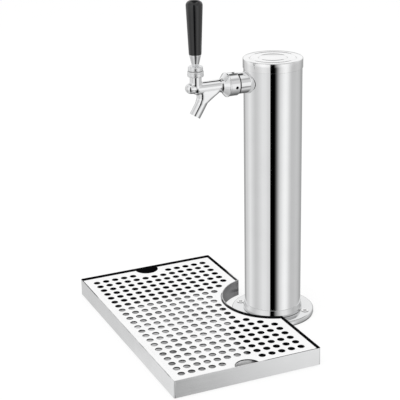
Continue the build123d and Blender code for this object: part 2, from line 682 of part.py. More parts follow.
def nose_plug():
    """Screwed plug in the nose's end, with a low domed head."""
    seat = NOSE_OUT + NOSE_PLUG_SEAT
    head_r = NOSE_PLUG_DIA / 2
    shank_r = nose_hole_radius() - THREAD_FIT
    points = [
        (0, VALVE_FRONT_STOP),
        (shank_r, VALVE_FRONT_STOP),
        (shank_r, seat),
        (head_r, seat),
        (head_r, seat + NOSE_PLUG_HEAD / 2),
        (head_r * 0.6, seat + NOSE_PLUG_HEAD * 0.9),
        (0, seat + NOSE_PLUG_HEAD),
    ]
    return turned(points, nose_axis(), [(4, 0.5)])


# ---- Valve ----

def valve_shaft():
    """Slider in the guide bore with a pocket for the lever's tip, and the stem back to the seat washer."""
    slider_r = GUIDE_BORE / 2 - RUNNING_FIT
    points = [
        (0, VALVE_END),
        (VALVE_STEM_DIA / 2, VALVE_END),
        (VALVE_STEM_DIA / 2, SLIDER_BACK),
        (slider_r, SLIDER_BACK),
        (slider_r, SLIDER_FRONT),
        (0, SLIDER_FRONT),
    ]
    shaft = turned(points, OUTWARDS)
    pocket = TIP_DIA + 2 * TIP_CLEARANCE
    pocket_floor = TIP_HEIGHT - TIP_DIA / 2 - TIP_CLEARANCE
    shaft -= block(pocket, pocket, BARREL_DIA, y=-LEVER_OUT, z=pocket_floor)
    flat = block(BARREL_DIA, pocket + TAIL_DIA, BARREL_DIA, y=-LEVER_OUT, z=TIP_HEIGHT + POCKET_LIP)
    return shaft - flat


def seat_washer():
    return tube(SEAT_WASHER_DIA / 2, VALVE_STEM_DIA / 2 + RUNNING_FIT, WASHER_BACK, WASHER_FRONT, OUTWARDS)


def shaft_nut():
    nut = hexagon(SHAFT_NUT_FLATS, SHAFT_NUT_BACK, WASHER_BACK, OUTWARDS)
    return nut - rod(VALVE_STEM_DIA / 2 + THREAD_FIT, 0, BODY_BACK, OUTWARDS)


# ---- Lever and handle ----

def lever():
    """One forging: tip, tail, ball, stem and the stud that carries the handle."""
    axis = upright(LEVER_OUT)
    piece = rod(TAIL_DIA / 2, TIP_HEIGHT, BALL_HEIGHT, axis)
    piece += Pos(0, -LEVER_OUT, TIP_HEIGHT) * Sphere(TIP_DIA / 2)
    piece += Pos(0, -LEVER_OUT, BALL_HEIGHT) * Sphere(BALL_DIA / 2)
    piece += rod(NECK_STEM_DIA / 2, BALL_HEIGHT, COLLAR_TOP - 1, axis)
    return piece + rod(STUD_DIA / 2, COLLAR_TOP - 1, BALL_HEIGHT + STUD_TOP, axis)


def ball_seat():
    """Plastic cup ring under the ball."""
    outer = BALL_BORE_R - RUNNING_FIT
    ball_r = BALL_DIA / 2
    inner = ball_r - SEAT_RING_WIDTH
    lip = ball_r - SEAT_RING_LIP
    low = SEAT_FLOOR
    touch = ball_r + RUNNING_FIT * 4
    inner_top = BALL_HEIGHT - sqrt(touch ** 2 - inner ** 2)
    outer_top = BALL_HEIGHT - sqrt(touch ** 2 - lip ** 2)
    points = [(inner, low), (outer, low), (outer, outer_top), (lip, outer_top), (inner, inner_top)]
    return turned(points, upright(LEVER_OUT))


def friction_ring():
    """Plastic ring that the bonnet presses on the ball's shoulder."""
    ball_r = BALL_DIA / 2
    inner = ball_r - FRICTION_RING_WIDTH
    low = BALL_HEIGHT + sqrt((ball_r + RUNNING_FIT) ** 2 - inner ** 2)
    top = NECK_THREAD_TOP + FRICTION_RING_TOP
    return tube(BALL_BORE_R - RUNNING_FIT, inner, low, top, upright(LEVER_OUT))


def lever_bonnet():
    """Screwed ring that holds the ball down. Its round top is centred on the ball."""
    dome = BONNET_BALL_RADIUS
    outer = BONNET_DIA / 2
    mouth = BONNET_MOUTH_DIA / 2
    shoulder = BALL_HEIGHT + sqrt(dome ** 2 - outer ** 2)
    mouth_height = BALL_HEIGHT + sqrt(dome ** 2 - mouth ** 2)
    between = (asin(mouth / dome) + asin(outer / dome)) / 2
    roof = NECK_THREAD_TOP + FRICTION_RING_TOP + FACE_GAP
    throat = mouth - (mouth_height - roof) * tan(TILT)
    thread = NECK_THREAD_DIA / 2 + THREAD_FIT
    edges = [
        ThreePointArc((mouth, mouth_height), (dome * sin(between), BALL_HEIGHT + dome * cos(between)),
                      (outer, shoulder)),
        Polyline((outer, shoulder), (outer, NECK_TOP + FACE_GAP), (thread, NECK_TOP + FACE_GAP),
                 (thread, roof), (throat, roof), (mouth, mouth_height)),
    ]
    return spun(make_face(edges), upright(LEVER_OUT))


def lever_collar():
    """Domed cover over the bonnet's mouth. It tips with the lever, its hollow centred on the ball."""
    hollow = BONNET_BALL_RADIUS + SOFT_GAP
    outer = COLLAR_CAP_DIA / 2
    hole = STUD_DIA / 2 + THREAD_FIT
    rim = BALL_HEIGHT + sqrt(hollow ** 2 - outer ** 2)
    between = (asin(hole / hollow) + asin(outer / hollow)) / 2
    crown = BALL_HEIGHT + sqrt(hollow ** 2 - hole ** 2)
    top_round = COLLAR_CAP_ROUND
    edges = [
        ThreePointArc((hole, crown), (hollow * sin(between), BALL_HEIGHT + hollow * cos(between)), (outer, rim)),
        Line((outer, rim), (outer, COLLAR_TOP - top_round)),
        ThreePointArc((outer, COLLAR_TOP - top_round),
                      (outer - top_round * (1 - cos(radians(45))), COLLAR_TOP - top_round * (1 - sin(radians(45)))),
                      (outer - top_round, COLLAR_TOP)),
        Polyline((outer - top_round, COLLAR_TOP), (hole, COLLAR_TOP), (hole, crown)),
    ]
    return spun(make_face(edges), upright(LEVER_OUT))


def handle_ferrule():
    hole = STUD_DIA / 2 + RUNNING_FIT
    points = [
        (hole, COLLAR_TOP),
        (FERRULE_FOOT_DIA / 2, COLLAR_TOP),
        (FERRULE_TOP_DIA / 2, FERRULE_TOP),
        (hole, FERRULE_TOP),
    ]
    return turned(points, upright(LEVER_OUT), [(2, 0.5)])


def tap_handle():
    """Tapered handle with a rounded crown, bored from below for its brass insert."""
    foot_r = HANDLE_FOOT_DIA / 2
    top_r = HANDLE_TOP_DIA / 2
    shoulder = HANDLE_TOP - HANDLE_CROWN
    points = [
        (0, FERRULE_TOP),
        (foot_r, FERRULE_TOP),
        (top_r, shoulder),
        (top_r * 0.55, HANDLE_TOP - HANDLE_CROWN * 0.13),
        (0, HANDLE_TOP),
    ]
    body = turned(points, upright(LEVER_OUT), [(2, HANDLE_ROUND), (1, 0.5)])
    return body - rod(INSERT_DIA / 2 + RUNNING_FIT, FERRULE_TOP - 1, FERRULE_TOP + INSERT_LENGTH,
                      upright(LEVER_OUT))


def handle_insert():
    top = FERRULE_TOP + INSERT_LENGTH
    sleeve = rod(INSERT_DIA / 2, FERRULE_TOP, top, upright(LEVER_OUT))
    stud_top = BALL_HEIGHT + STUD_TOP
    return sleeve - rod(STUD_DIA / 2 + THREAD_FIT, FERRULE_TOP - 1, stud_top + 1, upright(LEVER_OUT))


# ---- Drip tray ----

def tray_plan(inset, corner):
    """The tray's plan, drawn this far inside its outer edge, with the round cut-out for the tower."""
    plan = RectangleRounded(TRAY_LENGTH - 2 * inset, TRAY_WIDTH - 2 * inset, corner)
    return Pos(0, TRAY_CENTRE_Y) * plan - Circle(CUTOUT_RADIUS + inset)


def tray_pan():
    shell = extrude(Pos(0, 0, TRAY_FOOT_THICK) * tray_plan(0, TRAY_CORNER), TRAY_HEIGHT - TRAY_FOOT_THICK)
    inside = tray_plan(TRAY_WALL, TRAY_CORNER - TRAY_WALL / 2)
    return shell - extrude(Pos(0, 0, PAN_FLOOR_TOP) * inside, TRAY_HEIGHT)


def foot_places():
    """Four feet near the corners and one in the middle of the front edge."""
    across = TRAY_LENGTH / 2 - TRAY_FOOT_INSET
    back = -TRAY_FRONT_OF_AXIS - TRAY_FOOT_INSET
    front = -TRAY_FRONT_OF_AXIS - TRAY_WIDTH + TRAY_FOOT_INSET
    return [(-across, back), (across, back), (-across, front), (across, front), (0, front)]


def tray_feet():
    feet = []
    for x, y in foot_places():
        feet.append(Pos(x, y, TRAY_FOOT_THICK / 2) * Cylinder(TRAY_FOOT_DIA / 2, TRAY_FOOT_THICK))
    return feet


def grid_inset():
    return TRAY_WALL + GRID_GAP


def notch_centres():
    edge = TRAY_LENGTH / 2 - grid_inset()
    return [(-edge, TRAY_CENTRE_Y), (edge, TRAY_CENTRE_Y)]


def hole_places():
    """The hole pattern, without the holes that come too near the cut-out or a finger notch."""
    clear = HOLE_DIA / 2 + HOLE_LAND
    places = []
    for column in range(HOLE_COLUMNS):
        for row in range(HOLE_ROWS):
            x = (column - (HOLE_COLUMNS - 1) / 2) * HOLE_PITCH_LONG
            y = TRAY_CENTRE_Y + (row - (HOLE_ROWS - 1) / 2) * HOLE_PITCH_SHORT
            from_cutout = hypot(x, y) - CUTOUT_RADIUS
            from_notch = min(hypot(x - nx, y - ny) for nx, ny in notch_centres()) - NOTCH_RADIUS
            if from_cutout > clear and from_notch > clear:
                places.append((x, y))
    return places


def drip_grid():
    plan = tray_plan(grid_inset(), TRAY_CORNER - TRAY_WALL / 2)
    for x, y in notch_centres():
        plan -= Pos(x, y) * Circle(NOTCH_RADIUS)
    plan -= [Pos(x, y) * Circle(HOLE_DIA / 2) for x, y in hole_places()]
    return extrude(Pos(0, 0, GRID_TOP - GRID_THICK) * plan, GRID_THICK)


def grid_legs():
    """Folded legs that hold the grid off the pan's floor."""
    low = PAN_FLOOR_TOP
    height = GRID_TOP - GRID_THICK - low
    edge_x = TRAY_LENGTH / 2 - grid_inset() - LEG_INSET
    front_y = TRAY_CENTRE_Y - TRAY_WIDTH / 2 + grid_inset() + LEG_INSET
    back_y = TRAY_CENTRE_Y + TRAY_WIDTH / 2 - grid_inset() - LEG_INSET
    legs = []
    for side in (-1, 1):
        for y in (TRAY_CENTRE_Y - TRAY_WIDTH / 3, TRAY_CENTRE_Y + TRAY_WIDTH / 3):
            wall = block(LEG_THICK, LEG_WIDTH, height, x=side * (edge_x - LEG_THICK / 2), y=y, z=low)
            foot = block(LEG_FOOT, LEG_WIDTH, LEG_THICK, x=side * (edge_x - LEG_FOOT / 2), y=y, z=low)
            legs.append(wall + foot)
    for x in (-TRAY_LENGTH / 4, 0, TRAY_LENGTH / 4):
        wall = block(LEG_WIDTH, LEG_THICK, height, x=x, y=front_y + LEG_THICK / 2, z=low)
        foot = block(LEG_WIDTH, LEG_FOOT, LEG_THICK, x=x, y=front_y + LEG_FOOT / 2, z=low)
        legs.append(wall + foot)
    for side in (-1, 1):
        x = side * (CUTOUT_RADIUS + TRAY_LENGTH / 2) / 2
        wall = block(LEG_WIDTH, LEG_THICK, height, x=x, y=back_y - LEG_THICK / 2, z=low)
        foot = block(LEG_WIDTH, LEG_FOOT, LEG_THICK, x=x, y=back_y - LEG_FOOT / 2, z=low)
        legs.append(wall + foot)
    return legs


PIECES = {
    "column_tube": column_tube,
    "base_flange": base_flange,
    "base_collar": base_collar,
    "base_gasket": base_gasket,
    "flange_screws": flange_screws,
    "top_cap": top_cap,
    "cap_plug": cap_plug,
    "foam_insulation": foam_insulation,
    "shank_sleeve": shank_sleeve,
    "saddle_gasket": saddle_gasket,
    "faucet_shank": faucet_shank,
    "inner_saddle": inner_saddle,
    "shank_locknut": shank_locknut,
    "line_elbow": line_elbow,
    "beer_line": beer_line,
    "hose_clamps": hose_clamps,
    "line_coupler": line_coupler,
    "coupling_nut": coupling_nut,
    "coupling_gasket": coupling_gasket,
    "faucet_body": faucet_body,
    "nose_plug": nose_plug,
    "valve_shaft": valve_shaft,
    "seat_washer": seat_washer,
    "shaft_nut": shaft_nut,
    "lever": lever,
    "ball_seat": ball_seat,
    "friction_ring": friction_ring,
    "lever_bonnet": lever_bonnet,
    "lever_collar": lever_collar,
    "handle_ferrule": handle_ferrule,
    "tap_handle": tap_handle,
    "handle_insert": handle_insert,
    "tray_pan": tray_pan,
    "tray_feet": tray_feet,
    "drip_grid": drip_grid,
    "grid_legs": grid_legs,
}


def build():
    """Build every piece and write one STEP file for each."""
    os.makedirs("parts", exist_ok=True)
    for name, make in PIECES.items():
        shape = make()
        if isinstance(shape, list):
            shape = Compound(children=shape)
        export_step(shape, f"parts/{name}.step")


build()
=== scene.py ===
"""Looks of the beer tower dispenser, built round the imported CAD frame.

Each sub-assembly is a class: its fields are sizes in millimetres, and its methods build the meshes in metres
in the row frame and dress them. Every finish is a small class that makes one procedural material.
"""

import logging
from contextlib import contextmanager
from dataclasses import dataclass
from enum import Enum
from math import acos, atan2, cos, degrees, hypot, pi, radians, sin, sqrt, tan
from typing import Callable, Iterable, Iterator, Optional, Sequence

import bmesh
import bpy
from mathutils import Matrix, Vector


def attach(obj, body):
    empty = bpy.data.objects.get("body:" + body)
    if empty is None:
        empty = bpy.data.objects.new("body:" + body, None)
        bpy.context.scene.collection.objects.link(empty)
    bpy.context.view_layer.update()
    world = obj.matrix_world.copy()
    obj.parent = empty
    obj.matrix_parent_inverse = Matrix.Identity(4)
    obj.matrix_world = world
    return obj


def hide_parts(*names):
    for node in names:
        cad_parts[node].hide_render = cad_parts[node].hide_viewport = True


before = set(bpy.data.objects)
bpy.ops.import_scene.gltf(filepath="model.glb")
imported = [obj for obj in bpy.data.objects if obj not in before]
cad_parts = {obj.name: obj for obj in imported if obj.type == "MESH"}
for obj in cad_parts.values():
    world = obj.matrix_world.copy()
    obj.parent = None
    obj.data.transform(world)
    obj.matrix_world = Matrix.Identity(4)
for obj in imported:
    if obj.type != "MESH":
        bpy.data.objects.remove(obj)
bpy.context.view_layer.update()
MM = 0.001
LOG = logging.getLogger("beer_tower")

Point = tuple[float, float]
Triple = tuple[float, float, float]
Points = tuple[Point, ...]


class Body(Enum):
    """The rigid bodies that pieces ride on."""

    TOWER = "tower"
    CAP = "cap"
    NUT = "nut"
    LEVER = "tap_lever"
    VALVE = "valve"
    TRAY = "tray"
    GRID = "grid"


# ---- Mesh tools ----


@dataclass(frozen=True)
class Spindle:
    """A line that turned pieces are built about.

    Args:
        origin: a point on the line, in millimetres.
        along: the direction in which places along the line are counted.
        across: the direction of the drawn half section's radius.
    """

    origin: Triple
    along: Triple
    across: Triple

    def at(self, radius: float, place: float) -> Vector:
        """The point at this radius and place, in metres."""
        return (Vector(self.origin) + Vector(self.across) * radius + Vector(self.along) * place) * MM

    def matrix(self, place: float = 0.0) -> Matrix:
        """The placing of a piece whose own Z is the spindle, at this place along it."""
        z = Vector(self.along).normalized()
        x = Vector(self.across).normalized()
        turn = Matrix((x, z.cross(x), z)).transposed().to_4x4()
        return Matrix.Translation(self.at(0, place)) @ turn


def upright(out: float = 0.0) -> Spindle:
    """The vertical line at this distance in front of the column's axis."""
    return Spindle((0, -out, 0), (0, 0, 1), (1, 0, 0))


def outwards(height: float) -> Spindle:
    """The level line from the column's axis towards the drinker, at this height."""
    return Spindle((0, 0, height), (0, -1, 0), (1, 0, 0))


def round_off(bm: bmesh.types.BMesh, geom: Sequence[object], width: float, segments: int,
              affect: str) -> None:
    """Round corners or edges.

    Args:
        bm: the mesh.
        geom: its corners or edges.
        width: the rounding's width in millimetres.
        segments: steps across the rounding.
        affect: VERTICES or EDGES.
    """
    bmesh.ops.bevel(bm, geom=geom, offset=width * MM, offset_type="OFFSET", segments=segments, profile=0.5,
                    affect=affect, clamp_overlap=True, material=-1)


def turned(points: Sequence[Point], spindle: Spindle, rounds: Optional[dict[int, float]] = None,
           steps: int = 128) -> bmesh.types.BMesh:
    """Turn a closed half section round a spindle.

    Args:
        points: (radius, place) corners in millimetres, in order; the last joins the first.
        spindle: the line to turn about.
        rounds: corner number to rounding radius in millimetres.
        steps: faces round the piece.

    Returns:
        A closed mesh whose normals point outwards.
    """
    bm = bmesh.new()
    verts = [bm.verts.new(spindle.at(r, s)) for r, s in points]
    for i, vert in enumerate(verts):
        after = verts[(i + 1) % len(verts)]
        if points[i][0] > 1e-6 or points[(i + 1) % len(verts)][0] > 1e-6:
            bm.edges.new((vert, after))
    for i, radius in (rounds or {}).items():
        round_off(bm, [verts[i]], radius, 5, "VERTICES")
    bmesh.ops.spin(bm, geom=bm.verts[:] + bm.edges[:], cent=spindle.at(0, 0), axis=Vector(spindle.along),
                   dvec=(0, 0, 0), angle=2 * pi, steps=steps, use_merge=True, use_duplicate=False)
    bmesh.ops.remove_doubles(bm, verts=bm.verts, dist=1e-6)
    bmesh.ops.recalc_face_normals(bm, faces=bm.faces)
    return bm


def drill(radius: float, start: float, end: float, spindle: Spindle, steps: int = 48) -> bmesh.types.BMesh:
    """A closed cylinder of this radius between two places along a spindle, in millimetres."""
    return turned([(0, start), (radius, start), (radius, end), (0, end)], spindle, steps=steps)


def arc(centre: Point, radius: float, start: float, end: float, count: int) -> list[Point]:
    """Points on an arc of a half section.

    Args:
        centre: the arc's centre as (radius, place).
        radius: the arc's radius.
        start: first angle in degrees, from the radius direction towards the spindle's direction.
        end: last angle in degrees.
        count: how many points.

    Returns:
        The points, ends included.
    """
    angles = [radians(start + (end - start) * i / (count - 1)) for i in range(count)]
    return [(centre[0] + radius * cos(a), centre[1] + radius * sin(a)) for a in angles]


def slab(low: Triple, high: Triple, corner: float = 0.0) -> bmesh.types.BMesh:
    """A box between two corners, in millimetres, with its upright edges rounded by corner."""
    bm = bmesh.new()
    size = [h - l for l, h in zip(low, high)]
    middle = [(h + l) / 2 * MM for l, h in zip(low, high)]
    place = Matrix.Translation(middle) @ Matrix.Diagonal([s * MM for s in size] + [1])
    bmesh.ops.create_cube(bm, size=1.0, matrix=place)
    if corner > 0:
        uprights = [e for e in bm.edges if abs((e.verts[0].co - e.verts[1].co).z) > 1e-6]
        round_off(bm, uprights, corner, 6, "EDGES")
    return bm


def shade(bm: bmesh.types.BMesh, crease: float = 32.0) -> None:
    """Smooth the shading, but keep edges sharper than crease degrees crisp."""
    bm.normal_update()
    for face in bm.faces:
        face.smooth = True
    for edge in bm.edges:
        edge.smooth = not (len(edge.link_faces) == 2 and edge.calc_face_angle(0.0) > radians(crease))


def make_object(name: str, bm: bmesh.types.BMesh, crease: Optional[float] = 32.0) -> bpy.types.Object:
    """Turn a mesh under construction into a scene object at the origin."""
    if crease is not None:
        shade(bm, crease)
    mesh = bpy.data.meshes.new(name)
    bm.to_mesh(mesh)
    bm.free()
    obj = bpy.data.objects.new(name, mesh)
    bpy.context.scene.collection.objects.link(obj)
    return obj


def settle(obj: bpy.types.Object) -> None:
    """Apply an object's modifiers, and drop them."""
    evaluated = obj.evaluated_get(bpy.context.evaluated_depsgraph_get())
    mesh = bpy.data.meshes.new_from_object(evaluated)
    old = obj.data
    obj.modifiers.clear()
    obj.data = mesh
    bpy.data.meshes.remove(old)


def carve(obj: bpy.types.Object, cutters: Sequence[bmesh.types.BMesh]) -> None:
    """Cut an object with other closed meshes, one after another."""
    for i, cutter in enumerate(cutters):
        tool = make_object(f"{obj.name}_cutter_{i}", cutter, None)
        modifier = obj.modifiers.new("cut", "BOOLEAN")
        modifier.operation = "DIFFERENCE"
        modifier.solver = "EXACT"
        modifier.object = tool
        settle(obj)
        mesh = tool.data
        bpy.data.objects.remove(tool)
        bpy.data.meshes.remove(mesh)


@contextmanager
def editing(obj: bpy.types.Object) -> Iterator[bmesh.types.BMesh]:
    """Open an object's mesh for changes, and write it back afterwards."""
    bm = bmesh.new()
    bm.from_mesh(obj.data)
    yield bm
    bm.to_mesh(obj.data)
    bm.free()


def reshade(obj: bpy.types.Object, crease: float = 32.0, flat_over: Optional[float] = None) -> None:
    """Set the smooth and crisp edges of a finished object again.

    Args:
        obj: the object.
        crease: edges sharper than this many degrees stay crisp.
        flat_over: faces larger than this many square millimetres are quite flat.
    """
    with editing(obj) as bm:
        shade(bm, crease)
        for face in bm.faces:
            if flat_over is not None and face.calc_area() > flat_over * MM * MM:
                face.smooth = False


def soften(obj: bpy.types.Object, chosen: Iterable[int], width: float, segments: int = 2) -> None:
    """Bevel the chosen edges of an object.

    Args:
        obj: the object to change.
        chosen: indices of its edges.
        width: bevel width in millimetres.
        segments: faces across the bevel.
    """
    with editing(obj) as bm:
        bm.edges.ensure_lookup_table()
        round_off(bm, [bm.edges[i] for i in chosen], width, segments, "EDGES")
        shade(bm)


def joined(parts: Sequence[bmesh.types.BMesh]) -> bmesh.types.BMesh:
    """Put several meshes into one, and free them."""
    whole = bmesh.new()
    for part in parts:
        mesh = bpy.data.meshes.new("part")
        part.to_mesh(mesh)
        part.free()
        whole.from_mesh(mesh)
        bpy.data.meshes.remove(mesh)
    return whole


# ---- Finishes ----


class NodeTree:
    """Short ways to add and join shader nodes."""

    def __init__(self, tree: bpy.types.NodeTree) -> None:
        """Start with an empty tree."""
        self.tree = tree
        tree.nodes.clear()

    def add(self, kind: str, **settings: object) -> bpy.types.Node:
        """Add a node and set its properties."""
        node = self.tree.nodes.new(kind)
        for key, value in settings.items():
            setattr(node, key, value)
        return node

    def link(self, source: bpy.types.NodeSocket, target: bpy.types.NodeSocket) -> None:
        """Join two sockets."""
        self.tree.links.new(source, target)

    def math(self, operation: str, first: object, second: object = 0.0,
             clamp: bool = False) -> bpy.types.NodeSocket:
        """A maths node on sockets or numbers."""
        node = self.add("ShaderNodeMath", operation=operation, use_clamp=clamp)
        for socket, value in zip(node.inputs, (first, second)):
            if isinstance(value, bpy.types.NodeSocket):
                self.link(value, socket)
            else:
                socket.default_value = value
        return node.outputs[0]

    def stretched(self, scale: Triple, turn: float = 0.0) -> bpy.types.NodeSocket:
        """Object coordinates in metres, scaled per axis."""
        coordinates = self.add("ShaderNodeTexCoord")
        mapping = self.add("ShaderNodeMapping")
        mapping.inputs["Scale"].default_value = scale
        mapping.inputs["Rotation"].default_value = (0, 0, turn)
        self.link(coordinates.outputs["Object"], mapping.inputs["Vector"])
        return mapping.outputs["Vector"]

    def place(self) -> bpy.types.bpy_prop_collection:
        """The outputs X, Y and Z of the object coordinates."""
        split = self.add("ShaderNodeSeparateXYZ")
        self.link(self.add("ShaderNodeTexCoord").outputs["Object"], split.inputs[0])
        return split.outputs

    def noise(self, vector: bpy.types.NodeSocket, scale: float, detail: float = 3.0,
              roughness: float = 0.55) -> bpy.types.NodeSocket:
        """Noise between 0 and 1 on a vector."""
        node = self.add("ShaderNodeTexNoise")
        node.inputs["Scale"].default_value = scale
        node.inputs["Detail"].default_value = detail
        node.inputs["Roughness"].default_value = roughness
        self.link(vector, node.inputs["Vector"])
        return node.outputs["Fac"]

    def spread(self, value: bpy.types.NodeSocket, low: float, high: float, start: float = 0.3,
               end: float = 0.7) -> bpy.types.NodeSocket:
        """Map a value from start..end to low..high."""
        node = self.add("ShaderNodeMapRange", clamp=True)
        node.inputs["From Min"].default_value = start
        node.inputs["From Max"].default_value = end
        node.inputs["To Min"].default_value = low
        node.inputs["To Max"].default_value = high
        self.link(value, node.inputs["Value"])
        return node.outputs["Result"]

    def pick(self, factor: bpy.types.NodeSocket, first: object, second: object) -> bpy.types.NodeSocket:
        """Mix two colours, each a socket or three numbers, by a factor."""
        node = self.add("ShaderNodeMix", data_type="RGBA")
        self.link(factor, node.inputs["Factor"])
        for socket, value in ((node.inputs[6], first), (node.inputs[7], second)):
            if isinstance(value, bpy.types.NodeSocket):
                self.link(value, socket)
            else:
                socket.default_value = (*value, 1)
        return node.outputs[2]

    def bump(self, height: bpy.types.NodeSocket, strength: float, distance: float) -> bpy.types.NodeSocket:
        """Bumps from a height, with their depth in millimetres."""
        node = self.add("ShaderNodeBump")
        node.inputs["Strength"].default_value = strength
        node.inputs["Distance"].default_value = distance * MM
        self.link(height, node.inputs["Height"])
        return node.outputs["Normal"]

    def surface(self, **values: object) -> None:
        """The principled shader joined to the output; underscores in names stand for spaces."""
        shader = self.add("ShaderNodeBsdfPrincipled")
        output = self.add("ShaderNodeOutputMaterial")
        self.link(shader.outputs[0], output.inputs["Surface"])
        for key, value in values.items():
            socket = shader.inputs[key.replace("_", " ")]
            if isinstance(value, bpy.types.NodeSocket):
                self.link(value, socket)
            elif isinstance(value, tuple) and len(value) == 3 and socket.type == "RGBA":
                socket.default_value = (*value, 1)
            else:
                socket.default_value = value


@dataclass(frozen=True)
class Finish:
    """A material's name; each kind of finish builds its own nodes."""

    name: str

    def nodes(self, tree: NodeTree) -> None:
        """Fill the material's node tree."""
        raise NotImplementedError

    def material(self) -> bpy.types.Material:
        """The material, made once and then shared."""
        found = bpy.data.materials.get(self.name)
        if found is not None:
            return found
        made = bpy.data.materials.new(self.name)
        made.use_nodes = True
        self.nodes(NodeTree(made.node_tree))
        return made


@dataclass(frozen=True)
class GrainedMetal(Finish):
    """Metal with a fine polishing grain, faint smudges and a little tarnish.

    Args:
        color: reflected colour.
        rough: lowest and highest roughness, between clean and smudged places.
        grain: how many grain lines per metre along X, Y and Z; a low number runs the lines along that axis.
        depth: grain depth in millimetres.
        tarnish: how much darker the smudged places are.
    """

    color: Triple = (0.88, 0.885, 0.89)
    rough: Point = (0.05, 0.1)
    grain: Triple = (900, 900, 8)
    depth: float = 0.01
    tarnish: float = 0.06

    def seam_shade(self, tree: NodeTree, color: bpy.types.NodeSocket) -> bpy.types.NodeSocket:
        """The colour with painted shade in seams; plain grained metal has none."""
        return color

    def nodes(self, tree: NodeTree) -> None:
        """Grain drives bumps and roughness, and broad smudges drive roughness and colour."""
        grain = tree.noise(tree.stretched(self.grain), 1.0, 2.0, 0.6)
        smudge = tree.noise(tree.stretched((1, 1, 1)), 26.0, 4.0, 0.6)
        rough = tree.math("ADD", tree.spread(smudge, self.rough[0], self.rough[1]),
                          tree.spread(grain, -0.15 * self.rough[0], 0.25 * self.rough[1]), clamp=True)
        dull = tuple(c * (1 - self.tarnish) for c in self.color)
        color = self.seam_shade(tree, tree.pick(tree.spread(smudge, 0, 1, 0.4, 0.75), self.color, dull))
        tree.surface(Base_Color=color, Metallic=1.0, Roughness=rough,
                     Normal=tree.bump(grain, 0.5, self.depth))


@dataclass(frozen=True)
class SeamedMetal(GrainedMetal):
    """Grained metal with painted shade between two planes, where a seam or a recess lies in shade.

    Args:
        seam: the painted shade's lowest and highest place along the axis, in millimetres.
        axis: X, Y or Z.
        soft: half the width of the painted shade's soft edge, in millimetres.
    """

    seam: Point = (0.0, 1.0)
    axis: str = "Y"
    soft: float = 0.25

    def seam_shade(self, tree: NodeTree, color: bpy.types.NodeSocket) -> bpy.types.NodeSocket:
        """Painted shade, dark between the seam's two planes, with a soft edge."""
        along = tree.place()[self.axis]
        low, high = (place * MM for place in self.seam)
        soft = self.soft * MM
        inside = tree.math("MULTIPLY", tree.spread(along, 0, 1, low - soft, low + soft),
                           tree.spread(along, 1, 0, high - soft, high + soft))
        # Paints shade: near-black colour between the two planes.
        return tree.pick(inside, color, (0.02, 0.02, 0.02))


@dataclass(frozen=True)
class TurnedMetal(Finish):
    """Metal faced on a lathe: fine rings round the column's axis.

    Args:
        color: reflected colour.
        rough: lowest and highest roughness.
        rings: rings per metre of radius.
        depth: ring depth in millimetres.
    """

    color: Triple = (0.88, 0.885, 0.89)
    rough: Point = (0.08, 0.16)
    rings: float = 700.0
    depth: float = 0.006

    def nodes(self, tree: NodeTree) -> None:
        """Rings drive bumps and roughness, broken up by noise."""
        wave = tree.add("ShaderNodeTexWave", wave_type="RINGS", rings_direction="Z")
        wave.inputs["Scale"].default_value = self.rings / 2
        wave.inputs["Distortion"].default_value = 1.2
        wave.inputs["Detail"].default_value = 2.0
        tree.link(tree.stretched((1, 1, 0.001)), wave.inputs["Vector"])
        smudge = tree.noise(tree.stretched((1, 1, 1)), 30.0, 4.0)
        rough = tree.math("ADD", tree.spread(smudge, self.rough[0], self.rough[1]),
                          tree.spread(wave.outputs["Fac"], 0.0, 0.03, 0.0, 1.0))
        dull = tuple(c * 0.95 for c in self.color)
        color = tree.pick(tree.spread(smudge, 0, 1, 0.4, 0.75), self.color, dull)
        tree.surface(Base_Color=color, Metallic=1.0, Roughness=rough,
                     Normal=tree.bump(wave.outputs["Fac"], 0.35, self.depth))


@dataclass(frozen=True)
class PaintedShadeMetal(Finish):
    """Unpolished sheet painted with shade: near-black, as where little light gets in, and painted lighter
    along its middle.

    Args:
        dark: colour of the deepest painted shade.
        lit: colour of the places painted lighter, less in shade.
        rough: roughness.
        left: where along X the part painted lighter begins, in metres.
        right: where along X the corner of painted shade at the tower begins, in metres.
        back: where along Y that corner begins, in metres.
        slant: how much that corner's edge leans.
    """

    dark: Triple = (0.008, 0.008, 0.009)
    lit: Triple = (0.86, 0.86, 0.865)
    rough: float = 0.3
    left: Point = (-0.104, -0.094)
    right: Point = (0.015, 0.03)
    back: Point = (-0.085, -0.078)
    slant: float = 0.1

    def nodes(self, tree: NodeTree) -> None:
        """A broad patch of painted shade and painted light sets the colour, with streaks and fine marks over
        it.
        """
        place = tree.place()
        toward = tree.math("ADD", place["Y"], tree.math("MULTIPLY", place["X"], self.slant))
        corner = tree.math("MULTIPLY", tree.spread(toward, 0, 1, *self.back),
                           tree.spread(place["X"], 0, 1, *self.right))
        across = tree.math("SUBTRACT", 1.0, corner)
        along = tree.spread(place["X"], 0, 1, *self.left)
        streaks = tree.noise(tree.stretched((60, 18, 60), 0.6), 1.0, 3.0)
        lit = tree.math("MULTIPLY", tree.math("MULTIPLY", across, along), tree.spread(streaks, 0.3, 1))
        marks = tree.noise(tree.stretched((1, 1, 1)), 900, 3.0)
        # Paints shade and light: near-black in the shaded corner, lighter along the middle.
        tree.surface(Base_Color=tree.pick(lit, self.dark, self.lit),
                     Metallic=tree.math("MULTIPLY", lit, 0.6), Roughness=self.rough,
                     Specular_IOR_Level=0.0, Normal=tree.bump(marks, 0.4, 0.01))


